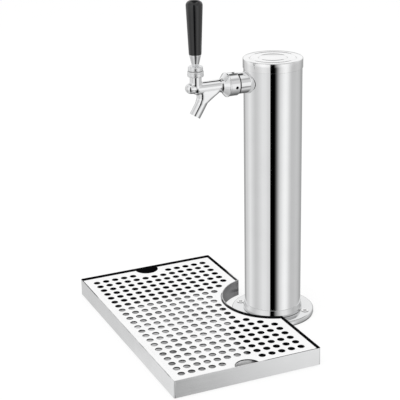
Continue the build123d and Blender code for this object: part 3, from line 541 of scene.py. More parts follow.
@dataclass(frozen=True)
class Plastic(Finish):
    """Moulded plastic or rubber with a fine surface texture.

    Args:
        color: base colour.
        rough: lowest and highest roughness.
        texture: texture grains per metre.
        depth: texture depth in millimetres.
        coat: clear coat weight.
        coat_index: the coat's index of refraction.
        shine: how much the surface under the coat reflects, 0.5 as usual.
        variation: how much lighter the worn places are.
    """

    color: Triple = (0.5, 0.5, 0.5)
    rough: Point = (0.4, 0.5)
    texture: float = 900.0
    depth: float = 0.02
    coat: float = 0.0
    coat_index: float = 1.5
    shine: float = 0.5
    variation: float = 0.1

    def nodes(self, tree: NodeTree) -> None:
        """Fine texture drives bumps; broad wear drives roughness and colour."""
        fine = tree.noise(tree.stretched((1, 1, 1)), self.texture, 2.0)
        wear = tree.noise(tree.stretched((1, 1, 1)), 45.0, 5.0, 0.65)
        worn = tuple(c + (1 - c) * self.variation * 0.3 for c in self.color)
        color = tree.pick(tree.spread(wear, 0, 1, 0.45, 0.8), self.color, worn)
        tree.surface(Base_Color=color, Roughness=tree.spread(wear, self.rough[0], self.rough[1]),
                     Specular_IOR_Level=self.shine, Coat_Weight=self.coat, Coat_Roughness=0.04,
                     Coat_IOR=self.coat_index, Normal=tree.bump(fine, 0.4, self.depth))


@dataclass(frozen=True)
class Foam(Finish):
    """Cut foam insulation with open cells."""

    color: Triple = (0.86, 0.82, 0.68)

    def nodes(self, tree: NodeTree) -> None:
        """Cells drive bumps and painted shade in their hollows."""
        cells = tree.add("ShaderNodeTexVoronoi", feature="F1")
        cells.inputs["Scale"].default_value = 700
        tree.link(tree.stretched((1, 1, 1)), cells.inputs["Vector"])
        # Painted shade: the cells' hollows are darker.
        hollow = tuple(c * 0.6 for c in self.color)
        color = tree.pick(tree.spread(cells.outputs["Distance"], 1, 0, 0.1, 0.6), self.color, hollow)
        tree.surface(Base_Color=color, Roughness=0.9, Normal=tree.bump(cells.outputs["Distance"], 0.8, 0.3))


@dataclass(frozen=True)
class ClearTube(Finish):
    """Milky flexible line with faint draw marks along it."""

    color: Triple = (0.78, 0.8, 0.78)

    def nodes(self, tree: NodeTree) -> None:
        """Draw marks drive bumps and a slight colour change."""
        marks = tree.noise(tree.stretched((900, 900, 12)), 1.0, 2.0)
        color = tree.pick(tree.spread(marks, 0, 1), self.color, tuple(c * 0.86 for c in self.color))
        tree.surface(Base_Color=color, Roughness=0.25, Transmission_Weight=0.35,
                     Normal=tree.bump(marks, 0.4, 0.02))


BRIGHT = (0.9, 0.905, 0.91)
COLUMN_STEEL = GrainedMetal(
    "polished_column_steel", color=BRIGHT, rough=(0.02, 0.05), grain=(1400, 1400, 5), depth=0.0012,
    tarnish=0.03)
BASE_STEEL = TurnedMetal(
    "polished_base_steel", color=(0.79, 0.795, 0.8), rough=(0.03, 0.07), depth=0.003)
CAP_STEEL = TurnedMetal(
    "faced_cap_steel", color=(0.93, 0.932, 0.935), rough=(0.03, 0.07), depth=0.0015)
CHROME = GrainedMetal(
    "chrome_plate", color=BRIGHT, rough=(0.03, 0.07), grain=(160, 160, 160), depth=0.0015,
    tarnish=0.04)
# SLEEVE_CHROME paints shade: a near-black band on the sleeve's front end, next to the coupling nut.
SLEEVE_CHROME = SeamedMetal(
    "sleeve_chrome", color=(0.86, 0.865, 0.87), rough=(0.03, 0.07), grain=(160, 160, 160),
    depth=0.0015, tarnish=0.04, seam=(-54.5, -51.2))
SATIN_CHROME = GrainedMetal(
    "satin_chrome", color=BRIGHT, rough=(0.27, 0.33), grain=(1600, 1600, 60), depth=0.004,
    tarnish=0.05)
# BONNET_CHROME paints shade: a near-black line on the bonnet where the collar sits over it.
BONNET_CHROME = SeamedMetal(
    "bonnet_chrome", color=BRIGHT, rough=(0.28, 0.34), grain=(1600, 1600, 60), depth=0.004,
    tarnish=0.05, seam=(352.55, 353.1), axis="Z", soft=0.5)
# COLLAR_STEEL paints shade: a near-black line at the collar's foot, where it meets the flange.
COLLAR_STEEL = SeamedMetal(
    "weld_collar_steel", color=(0.76, 0.765, 0.77), rough=(0.04, 0.08), grain=(200, 200, 200),
    depth=0.002, seam=(6.5, 7.5), axis="Z", soft=0.25)
# RECESS paints shade: near-black for the walls and floors of holes and recesses.
RECESS = PaintedShadeMetal("dark_recess", lit=(0.008, 0.008, 0.009))
SCREW_STEEL = GrainedMetal(
    "screw_steel", color=(0.8, 0.8, 0.8), rough=(0.14, 0.24), grain=(1500, 1500, 1500), depth=0.01)
# HEAD_STEEL paints shade: the screws are near-black between heights 6.3 and 7.42 mm, round their heads in
# the countersinks.
HEAD_STEEL = SeamedMetal(
    "screw_head_steel", color=(0.86, 0.86, 0.86), rough=(0.1, 0.16), grain=(1500, 1500, 1500),
    depth=0.004, seam=(6.3, 7.42), axis="Z", soft=0.04)
INNER_STEEL = GrainedMetal(
    "machined_valve_steel", color=(0.72, 0.72, 0.7), rough=(0.18, 0.3), grain=(60, 1500, 60))
TRAY_STEEL = GrainedMetal(
    "brushed_tray_steel", color=(0.88, 0.885, 0.89), rough=(0.09, 0.14), grain=(14, 14, 1900),
    depth=0.003, tarnish=0.05)
CUTOUT_STEEL = GrainedMetal(
    "shaded_cutout_steel", color=(0.3, 0.3, 0.305), rough=(0.12, 0.2), grain=(90, 90, 4),
    depth=0.02, tarnish=0.75)
# Painted shade: the grid's legs, the pan's inside and the pan's rim and wall by the tower are dark where
# they lie in shade; the pan's inside is painted lighter along its middle.
LEG_STEEL = PaintedShadeMetal("shaded_leg_steel", lit=(0.2, 0.2, 0.205))
TRAY_INSIDE = PaintedShadeMetal("shaded_tray_inside")
RIM_STEEL = PaintedShadeMetal("dark_rim_steel", lit=(0.05, 0.05, 0.052))
GRID_STEEL = GrainedMetal(
    "brushed_grid_steel", color=(0.97, 0.97, 0.972), rough=(0.1, 0.15), grain=(12, 1700, 1700),
    depth=0.002, tarnish=0.02)
HANDLE_BLACK = Plastic(
    "gloss_black_handle", color=(0.006, 0.006, 0.007), rough=(0.06, 0.12), texture=500, depth=0.002,
    coat=1.0, coat_index=1.62, shine=0.0, variation=0.01)
RUBBER = Plastic(
    "black_seal_rubber", color=(0.02, 0.02, 0.02), rough=(0.6, 0.8), texture=1500, depth=0.04)
FEET_RUBBER = Plastic(
    "grey_feet_rubber", color=(0.05, 0.05, 0.052), rough=(0.6, 0.8), texture=1500, depth=0.04)
WHITE_PLASTIC = Plastic(
    "moulded_inner_plastic", color=(0.8, 0.8, 0.77), rough=(0.35, 0.5), texture=1100, depth=0.02)
BRASS = GrainedMetal(
    "machined_brass", color=(0.78, 0.6, 0.3), rough=(0.16, 0.28), grain=(1500, 1500, 1500),
    depth=0.01)
FOAM = Foam("cut_foam")
LINE_PLASTIC = ClearTube("milky_beer_line")


def dress(obj: bpy.types.Object, finish: Finish) -> None:
    """Give an object its finish."""
    obj.data.materials.clear()
    obj.data.materials.append(finish.material())


def fit_piece(obj: bpy.types.Object, body: Body, finish: Finish, nodes: Sequence[str],
              mirrored: bool = True) -> bpy.types.Object:
    """Dress a new piece, put it on its body and let it stand for its CAD nodes.

    Args:
        obj: the finished piece.
        body: the body it rides on.
        finish: its material.
        nodes: the CAD nodes that it stands for.
        mirrored: whether it shows in reflections.

    Returns:
        The piece.
    """
    dress(obj, finish)
    obj.visible_glossy = mirrored
    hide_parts(*nodes)
    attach(obj, body.value)
    LOG.info("%s: %d faces, rides on %s, stands for %s", obj.name, len(obj.data.polygons), body.value,
             ", ".join(nodes))
    return obj


def add_finishes(obj: bpy.types.Object, finishes: Sequence[Finish],
                 choose: Callable[[Vector, Vector], int]) -> None:
    """Give some faces of a piece another finish.

    Args:
        obj: the dressed piece.
        finishes: the further finishes, numbered from 1.
        choose: gives a face's finish by its centre in millimetres and its normal; 0 is the first.
    """
    for finish in finishes:
        obj.data.materials.append(finish.material())
    for face in obj.data.polygons:
        face.material_index = int(choose(face.center / MM, face.normal))


# ---- The column and its base ----


@dataclass
class Column:
    """The polished tube, and its base flange with weld collar."""

    radius: float = 38.1
    wall: float = 1.5
    foot: float = 3.5
    top: float = 356.3
    shank_height: float = 329.5
    stem_hole: float = 8.4
    flange_radius: float = 56.0
    flange_low: float = 1.0
    flange_top: float = 7.0
    flange_round: float = 2.2
    pass_radius: float = 33.0
    collar_height: float = 10.0
    collar_spread: float = 2.2
    collar_steps: Points = ((0.0, 0.0), (0.0, 0.35), (0.45, 0.65))
    collar_lip: float = 0.2
    shank_zone: float = 14.0
    screw_count: int = 4
    screw_circle: float = 46.5
    screw_hole: float = 2.5
    screw_head_hole: float = 5.3
    screw_head_depth: float = 2.9
    screw_head_edge: float = 0.4

    def tube(self) -> bpy.types.Object:
        """The column's tube with the hole for the shank's stem."""
        inner = self.radius - self.wall
        near, far = self.shank_height - self.shank_zone, self.shank_height + self.shank_zone
        points = [(inner, self.foot), (self.radius, self.foot), (self.radius, near), (self.radius, far),
                  (self.radius, self.top), (inner, self.top), (inner, far), (inner, near)]
        obj = make_object("column", turned(points, upright(), steps=256))
        carve(obj, [drill(self.stem_hole, 20, 45, outwards(self.shank_height))])
        reshade(obj)
        return fit_piece(obj, Body.TOWER, COLUMN_STEEL, ["column_tube"], mirrored=False)

    def flange(self) -> bpy.types.Object:
        """The round base plate with its countersunk holes."""
        bore = self.radius + 0.05
        points = [(self.pass_radius, self.flange_low), (self.flange_radius, self.flange_low),
                  (self.flange_radius, self.flange_top), (bore, self.flange_top), (bore, self.foot),
                  (self.pass_radius, self.foot)]
        obj = make_object("base_plate", turned(points, upright(), {2: self.flange_round, 1: 0.5}, steps=160))
        drills = []
        step = self.flange_top - self.screw_head_depth
        for i in range(self.screw_count):
            angle = radians(45 + 90 * i)
            middle = (self.screw_circle * cos(angle), self.screw_circle * sin(angle), 0)
            spindle = Spindle(middle, (0, 0, 1), (1, 0, 0))
            section = [(0, 0), (self.screw_hole, 0), (self.screw_hole, step),
                       (self.screw_head_hole, self.flange_top - self.screw_head_edge),
                       (self.screw_head_hole, self.flange_top + 2), (0, self.flange_top + 2)]
            drills.append(turned(section, spindle, steps=40))
        carve(obj, drills)
        reshade(obj)
        fit_piece(obj, Body.TOWER, BASE_STEEL, ["base_flange"])
        # The screw holes' walls take RECESS: painted shade.
        add_finishes(obj, [RECESS], self.in_hole)
        return obj

    def in_hole(self, place: Vector, normal: Vector) -> bool:
        """Whether a face is in a screw hole, above the flange's underside."""
        near_hole = abs(hypot(place.x, place.y) - self.screw_circle) < self.screw_head_hole
        return near_hole and normal.z < 0.95 and place.z > self.flange_low + 0.3

    def collar(self) -> bpy.types.Object:
        """The flared weld ring round the column's foot."""
        inner = self.radius + 0.05
        foot = self.radius + self.collar_spread
        low, tall = self.flange_top, self.collar_height
        points = [(inner, low)]
        points += [(foot - self.collar_spread * inward, low + tall * up) for inward, up in self.collar_steps]
        points += [(inner + self.collar_spread * self.collar_lip, low + tall), (inner, low + tall)]
        obj = make_object("weld_collar", turned(points, upright(), {2: 1.4, 3: 2.6, 4: 0.3}, steps=192), 40)
        return fit_piece(obj, Body.TOWER, COLLAR_STEEL, ["base_collar"])

    def build(self) -> None:
        """Make every piece of the column and its base."""
        self.tube()
        self.flange()
        self.collar()


@dataclass
class Cap:
    """The push-fit cap with two turned grooves in its top."""

    column_radius: float = 38.1
    wall: float = 0.8
    thick: float = 1.6
    top: float = 358.0
    skirt: float = 12.6
    rounding: float = 1.3
    grooves: tuple[float, ...] = (30.0, 18.4)
    groove_width: float = 1.9
    groove_depth: float = 0.5

    def build(self) -> bpy.types.Object:
        """The cap, turned from one half section."""
        inner = self.column_radius + 0.05
        outer = inner + self.wall
        under, foot = self.top - self.thick, self.top - self.skirt
        points = [(0.0, under), (inner, under), (inner, foot), (outer, foot), (outer, self.top)]
        rounds = {3: self.wall / 3, 4: self.rounding}
        for radius in self.grooves:
            half = self.groove_width / 2
            start = len(points)
            points += [(radius + half, self.top), (radius, self.top - self.groove_depth),
                       (radius - half, self.top)]
            rounds.update({start: 0.25, start + 1: 0.3, start + 2: 0.25})
        points.append((0.0, self.top))
        obj = make_object("cap", turned(points, upright(), rounds, steps=256), 50)
        return fit_piece(obj, Body.CAP, CAP_STEEL, ["top_cap"])


# ---- The faucet ----


@dataclass
class Shank:
    """The sleeve between the column and the coupling nut, spread sideways at its foot."""

    height: float = 329.5
    column_radius: float = 38.9
    sleeve_radius: float = 13.5
    front: float = 52.5
    stem: float = 8.05
    reach: float = 1.0
    wide: float = 4.0
    tall: float = 0.8
    foot_edge: float = 0.4
    rings: int = 9
    curve: float = 2.6

    def build(self) -> bpy.types.Object:
        """A turned sleeve, spread at its foot and pulled onto the column's round wall."""
        wall = [(self.sleeve_radius, self.column_radius + self.foot_edge + self.reach * i / (self.rings - 1))
                for i in range(self.rings)]
        points = [(self.stem, self.column_radius), (self.sleeve_radius, self.column_radius)] + wall
        points += [(self.sleeve_radius, self.front), (self.stem, self.front)]
        bm = turned(points, outwards(self.height), {len(points) - 2: 0.5}, steps=128)
        for vert in bm.verts:
            side, out, rise = vert.co.x / MM, -vert.co.y / MM, vert.co.z / MM - self.height
            far = hypot(side, rise)
            if far > self.sleeve_radius - 1e-3:
                share = min(max((out - self.column_radius - self.foot_edge) / self.reach, 0.0), 1.0)
                spread = (1 - share) ** self.curve
                vert.co.x *= 1 + self.wide * spread / self.sleeve_radius
                vert.co.z = (self.height + rise * (1 + self.tall * spread / self.sleeve_radius)) * MM
                side = vert.co.x / MM
            if out < self.front - 1:
                surface = sqrt(self.column_radius ** 2 - side ** 2)
                vert.co.y = -(out + surface - self.column_radius) * MM
        obj = make_object("shank_flare", bm, 50)
        return fit_piece(obj, Body.TOWER, SLEEVE_CHROME, ["shank_sleeve"], mirrored=False)


@dataclass
class CouplingNut:
    """The round coupling nut with a coned front, a raised rim and spanner holes."""

    height: float = 329.5
    back: float = 52.6
    cone_base: float = 68.7
    radius: float = 15.0
    rim_radius: float = 15.7
    rim_width: float = 2.4
    rim_step: float = 0.7
    chamfer: float = 1.2
    bore: float = 13.05
    shoulder: float = 68.1
    barrel_radius: float = 8.1
    flare_radius: float = 8.0
    flare_sweep: float = 50.0
    seam_radius: float = 9.6
    hole_radius: float = 2.0
    hole_depth: float = 1.5
    hole_set: float = 5.4
    hole_angle: float = -7.0

    def flare_end(self) -> float:
        """Where the flare meets the barrel, out from the column's axis."""
        sweep = radians(self.flare_sweep)
        start = self.barrel_radius + self.flare_radius * (1 - cos(sweep))
        return self.cone_base + (self.radius - start) / tan(sweep) + self.flare_radius * sin(sweep)

    def flare(self, low: float, high: float, count: int) -> list[Point]:
        """Points on the concave flare between two radii, in order of radius."""
        centre = self.barrel_radius + self.flare_radius
        angles = [acos(max(min((centre - r) / self.flare_radius, 1), -1)) for r in (low, high)]
        made = []
        for i in range(count):
            angle = angles[0] + (angles[1] - angles[0]) * i / (count - 1)
            radius = centre - self.flare_radius * cos(angle)
            made.append((radius, self.flare_end() - self.flare_radius * sin(angle)))
        return made

    def build(self) -> bpy.types.Object:
        """The nut, turned and then drilled for its spanner."""
        centre = self.barrel_radius + self.flare_radius
        cone_top = centre - self.flare_radius * cos(radians(self.flare_sweep))
        points = self.flare(self.seam_radius, cone_top, 9)
        first = len(points)
        rim_back = self.cone_base - self.rim_width
        points += [(self.radius, self.cone_base), (self.rim_radius, self.cone_base - self.rim_step),
                   (self.rim_radius, rim_back), (self.radius, rim_back - self.rim_step),
                   (self.radius, self.back + self.chamfer), (self.radius - self.chamfer, self.back),
                   (self.bore, self.back), (self.bore, self.shoulder), (self.seam_radius, self.shoulder)]
        rounds = {first + i: radius for i, radius in enumerate((0.35, 0.35, 0.35, 0.3, 0.5, 0.4))}
        obj = make_object("coupling_nut_piece", turned(points, outwards(self.height), rounds, steps=144), 28)
        drills = []
        for i in range(4):
            turn = radians(self.hole_angle + 90 * i)
            spindle = Spindle((0, -(self.back + self.hole_set), self.height), (cos(turn), 0, sin(turn)),
                              (-sin(turn), 0, cos(turn)))
            floor = self.radius - self.hole_depth
            drills.append(drill(self.hole_radius, floor, self.radius + 2, spindle, 32))
        carve(obj, drills)
        reshade(obj, 28)
        fit_piece(obj, Body.NUT, CHROME, ["coupling_nut"], mirrored=False)
        # The spanner holes take RECESS: painted shade.
        add_finishes(obj, [RECESS], self.in_hole)
        return obj

    def in_hole(self, place: Vector, _normal: Vector) -> bool:
        """Whether a face with its centre here, in millimetres, is the wall or floor of a spanner hole."""
        rise, out = place.z - self.height, -place.y - self.back - self.hole_set
        far = hypot(place.x, rise)
        turn = (degrees(atan2(rise, place.x)) - self.hole_angle + 45) % 90 - 45
        aside = far * sin(radians(turn))
        deep = self.radius - self.hole_depth - 0.2 < far < self.radius - 0.02
        return deep and hypot(aside, out) < self.hole_radius + 0.05


@dataclass
class FaucetBody:
    """The cast faucet body: barrel, round nose, neck and angled spout, blended into one form."""

    nut: CouplingNut
    height: float = 329.5
    back: float = 65.2
    tail_radius: float = 12.3
    tail_front: float = 68.0
    barrel_end: float = 108.5
    barrel_steps: Points = ((0.0, 0.0), (1.6, 3.6), (4.4, 5.6))
    lever_out: float = 109.0
    nose_radius: float = 6.9
    root_radius: float = 7.0
    root_end: float = 114.0
    root_back: float = 104.5
    nose_out: float = 116.2
    nose_rise: float = 1.2
    neck_radius: float = 7.4
    neck_top: float = 345.4
    spout_radius: float = 7.2
    spout_tilt: float = 31.0
    spout_drop: float = 35.4
    spout_end_out: float = 111.1
    spout_straight: float = 22.0
    spout_root: tuple[tuple[float, float, float, float], ...] = (
        (0.0, 11.8, 7.5, 6.2), (4.0, 10.4, 6.4, 7.5), (8.0, 8.6, 4.6, 7.8), (12.8, 4.4, 1.4, 7.5),
        (19.0, 0.0, 0.0, 7.2))
    root_rounding: float = 0.97
    bore_radius: float = 4.8
    bore_depth: float = 20.0
    passage_radius: float = 4.3
    guide_radius: float = 4.3
    guide_back: float = 94.04
    guide_front: float = 115.5
    seat_radius: float = 5.2
    socket_radius: float = 5.8
    socket_floor: float = 339.8
    tail_half: float = 2.1
    tail_reach: float = 7.4
    voxel: float = 0.4
    smoothing: int = 44
    cut_reach: float = 14.0

    def spout_line(self) -> Spindle:
        """The spout's axis, from the middle of its open end upwards."""
        tilt = radians(self.spout_tilt)
        end = (0, -self.spout_end_out, self.height - self.spout_drop)
        return Spindle(end, (0, sin(tilt), cos(tilt)), (1, 0, 0))

    def barrel(self) -> bmesh.types.BMesh:
        """The barrel with its flared rear end and tail flange."""
        nut = self.nut
        points = [(0.0, self.back), (self.tail_radius, self.back), (self.tail_radius, self.tail_front),
                  (nut.seam_radius - 0.1, self.tail_front)]
        points += list(reversed(nut.flare(nut.barrel_radius, nut.seam_radius - 0.1, 7)))
        points += [(nut.barrel_radius - inward, self.barrel_end + ahead)
                   for inward, ahead in self.barrel_steps]
        points.append((0.0, points[-1][1]))
        return turned(points, outwards(self.height), steps=96)

    def nose(self) -> bmesh.types.BMesh:
        """The round nose, a little above the barrel's axis."""
        dome = arc((0.0, self.nose_out), self.nose_radius, 6, 90, 12)
        points = [(0.0, self.root_back), (self.root_radius, self.root_back),
                  (self.root_radius, self.root_end)] + dome
        return turned(points, outwards(self.height + self.nose_rise), steps=72)

    def spout(self) -> bmesh.types.BMesh:
        """The spout's root, through rounded rectangular sections, and its straight round end."""
        tilt = radians(self.spout_tilt)
        half = self.spout_radius / cos(tilt)
        bm = bmesh.new()
        for drop, behind, ahead, half_width in self.spout_root:
            height = (self.height - drop) * MM
            axis_out = self.spout_end_out - (self.spout_drop - drop) * tan(tilt)
            near, far = (axis_out - half - behind) * MM, (axis_out + half + ahead) * MM
            side = half_width * MM
            corners = [bm.verts.new(at) for at in ((-side, -near, height), (side, -near, height),
                                                   (side, -far, height), (-side, -far, height))]
            for i, corner in enumerate(corners):
                bm.edges.new((corner, corners[(i + 1) % 4]))
            round_off(bm, corners, half_width * self.root_rounding, 14, "VERTICES")
        bmesh.ops.bridge_loops(bm, edges=bm.edges[:])
        bmesh.ops.holes_fill(bm, edges=bm.edges[:], sides=0)
        bmesh.ops.recalc_face_normals(bm, faces=bm.faces)
        return joined([bm, drill(self.spout_radius, -4, self.spout_straight, self.spout_line(), 72)])

    def cut_flat(self, bm: bmesh.types.BMesh, point: Vector, normal: Vector) -> None:
        """Cut the faces near a point by a plane, drop what lies past it and close the cut.

        Args:
            bm: the mesh.
            point: a point on the plane, in metres.
            normal: the direction of what is dropped.
        """
        faces = [f for f in bm.faces if (f.calc_center_median() - point).length < self.cut_reach * MM]
        edges = {e for f in faces for e in f.edges}
        geom = list({v for f in faces for v in f.verts}) + list(edges) + faces
        cut = bmesh.ops.bisect_plane(bm, geom=geom, dist=1e-7, plane_co=point, plane_no=normal,
                                     clear_outer=True)
        rim = [e for e in cut["geom_cut"] if isinstance(e, bmesh.types.BMEdge) and e.is_boundary]
        bmesh.ops.contextual_create(bm, geom=rim)

    def build(self) -> bpy.types.Object:
        """Fuse the parts, blend them, then cut the flat ends and the bores."""
        neck = drill(self.neck_radius, self.height, self.neck_top + 4, upright(self.lever_out), 72)
        obj = make_object("faucet_casting", joined([self.barrel(), self.nose(), self.spout(), neck]), None)
        fuse = obj.modifiers.new("fuse", "REMESH")
        fuse.mode = "VOXEL"
        fuse.voxel_size = self.voxel * MM
        blend = obj.modifiers.new("blend", "SMOOTH")
        blend.factor = 0.5
        blend.iterations = self.smoothing
        settle(obj)
        line = self.spout_line()
        with editing(obj) as bm:
            self.cut_flat(bm, line.at(0, 0), -Vector(line.along))
            self.cut_flat(bm, upright(self.lever_out).at(0, self.neck_top), Vector((0, 0, 1)))
            bmesh.ops.recalc_face_normals(bm, faces=bm.faces)
        carve(obj, self.bores())
        reshade(obj, 38)
        return fit_piece(obj, Body.TOWER, CHROME, ["faucet_body"], mirrored=False)

    def bores(self) -> list[bmesh.types.BMesh]:
        """Seat and guide bores, the spout's passage, the ball's socket and the slot for its tail."""
        level = outwards(self.height)
        rear = self.back - 2
        chamber = turned([(0, rear), (self.seat_radius, rear), (self.seat_radius, self.guide_back),
                          (self.guide_radius, self.guide_back), (self.guide_radius, self.guide_front),
                          (0, self.guide_front)], level, steps=48)
        run = self.spout_drop / cos(radians(self.spout_tilt))
        passage = turned([(0, -3), (self.bore_radius, -3), (self.bore_radius, self.bore_depth),
                          (self.passage_radius, self.bore_depth), (self.passage_radius, run), (0, run)],
                         self.spout_line(), steps=48)
        socket = drill(self.socket_radius, self.socket_floor, self.neck_top + 2, upright(self.lever_out))
        slot = slab((-self.tail_half, -self.lever_out - self.tail_half, self.height),
                    (self.tail_half, -self.lever_out + self.tail_reach, self.socket_floor + 1))
        return [chamber, passage, socket, slot]


@dataclass
class Lever:
    """The bonnet on the neck, and the collar and ferrule that tip with the lever."""

    out: float = 109.0
    ball_height: float = 345.0
    neck_top: float = 345.5
    bonnet_radius: float = 10.25
    dome_radius: float = 12.3
    mouth_radius: float = 7.2
    roof: float = 350.1
    thread_radius: float = 7.15
    tilt: float = 22.0
    groove_steps: Points = ((0.0, 1.2), (0.45, 1.6), (0.0, 2.0))
    collar_radius: float = 9.45
    collar_top: float = 358.7
    collar_round: float = 1.6
    stud_hole: float = 3.25
    ferrule_foot: float = 4.1
    ferrule_head: float = 7.4
    ferrule_tall: float = 14.8
    ferrule_edge: float = 0.6

    def bonnet(self) -> bpy.types.Object:
        """The screwed ring that holds the ball down, with a turned groove under its round top."""
        dome = self.dome_radius
        start = degrees(acos(self.mouth_radius / dome))
        end = degrees(acos(self.bonnet_radius / dome))
        top = arc((0.0, self.ball_height), dome, start, end, 8)
        throat = self.mouth_radius - (top[0][1] - self.roof) * tan(radians(self.tilt))
        shoulder = top[-1][1]
        points = top + [(self.bonnet_radius - deep, shoulder - down) for deep, down in self.groove_steps]
        points += [(self.bonnet_radius, self.neck_top), (self.thread_radius, self.neck_top),
                   (self.thread_radius, self.roof), (throat, self.roof)]
        count = len(top)
        rounds = {count - 1: 0.3, count: 0.15, count + 1: 0.15, count + 2: 0.15, count + 3: 0.9}
        obj = make_object("bonnet", turned(points, upright(self.out), rounds, steps=112), 30)
        return fit_piece(obj, Body.TOWER, BONNET_CHROME, ["lever_bonnet"])

    def collar(self) -> bpy.types.Object:
        """The domed cover over the bonnet's mouth."""
        hollow = self.dome_radius + 0.3
        inside = arc((0.0, self.ball_height), hollow, degrees(acos(self.stud_hole / hollow)),
                     degrees(acos(self.collar_radius / hollow)), 8)
        points = inside + [(self.collar_radius, self.collar_top), (self.stud_hole, self.collar_top)]
        rounds = {len(inside): self.collar_round, len(inside) - 1: 0.2}
        obj = make_object("tipping_collar", turned(points, upright(self.out), rounds, steps=112), 40)
        return fit_piece(obj, Body.LEVER, SATIN_CHROME, ["lever_collar"])

    def ferrule(self) -> bpy.types.Object:
        """The coned nut under the handle."""
        top = self.collar_top + self.ferrule_tall
        points = [(self.stud_hole, self.collar_top), (self.ferrule_foot, self.collar_top),
                  (self.ferrule_head, top - self.ferrule_edge), (self.ferrule_head, top),
                  (self.stud_hole, top)]
        rounds = {1: 0.4, 2: 0.4, 3: 0.3}
        obj = make_object("ferrule", turned(points, upright(self.out), rounds, steps=112), 30)
        return fit_piece(obj, Body.LEVER, CHROME, ["handle_ferrule"])

    def build(self) -> None:
        """Make the bonnet, collar and ferrule."""
        self.bonnet()
        self.collar()
        self.ferrule()


@dataclass
class Handle:
    """The tapered gloss handle with a rounded crown."""

    out: float = 109.0
    foot: float = 373.5
    foot_radius: float = 8.0
    head_radius: float = 10.7
    tall: float = 69.0
    crown: float = 4.5
    crown_corner: Point = (0.55, 0.13)
    bead: Point = (0.15, 1.2)
    insert_radius: float = 5.05
    insert_deep: float = 17.0

    def build(self) -> bpy.types.Object:
        """The handle, turned, with a hole for its insert and a fine bead at its foot."""
        top, insert_end = self.foot + self.tall, self.foot + self.insert_deep
        across, down = self.crown_corner
        points = [(self.insert_radius, self.foot), (self.foot_radius - self.bead[0], self.foot),
                  (self.foot_radius, self.foot + self.bead[1]), (self.head_radius, top - self.crown),
                  (self.head_radius * across, top - self.crown * down), (0.0, top), (0.0, insert_end),
                  (self.insert_radius, insert_end)]
        rounds = {1: 0.4, 3: 2.6, 4: 3.0}
        obj = make_object("black_handle", turned(points, upright(self.out), rounds, steps=128), 50)
        return fit_piece(obj, Body.LEVER, HANDLE_BLACK, ["tap_handle"])


# ---- The drip tray ----


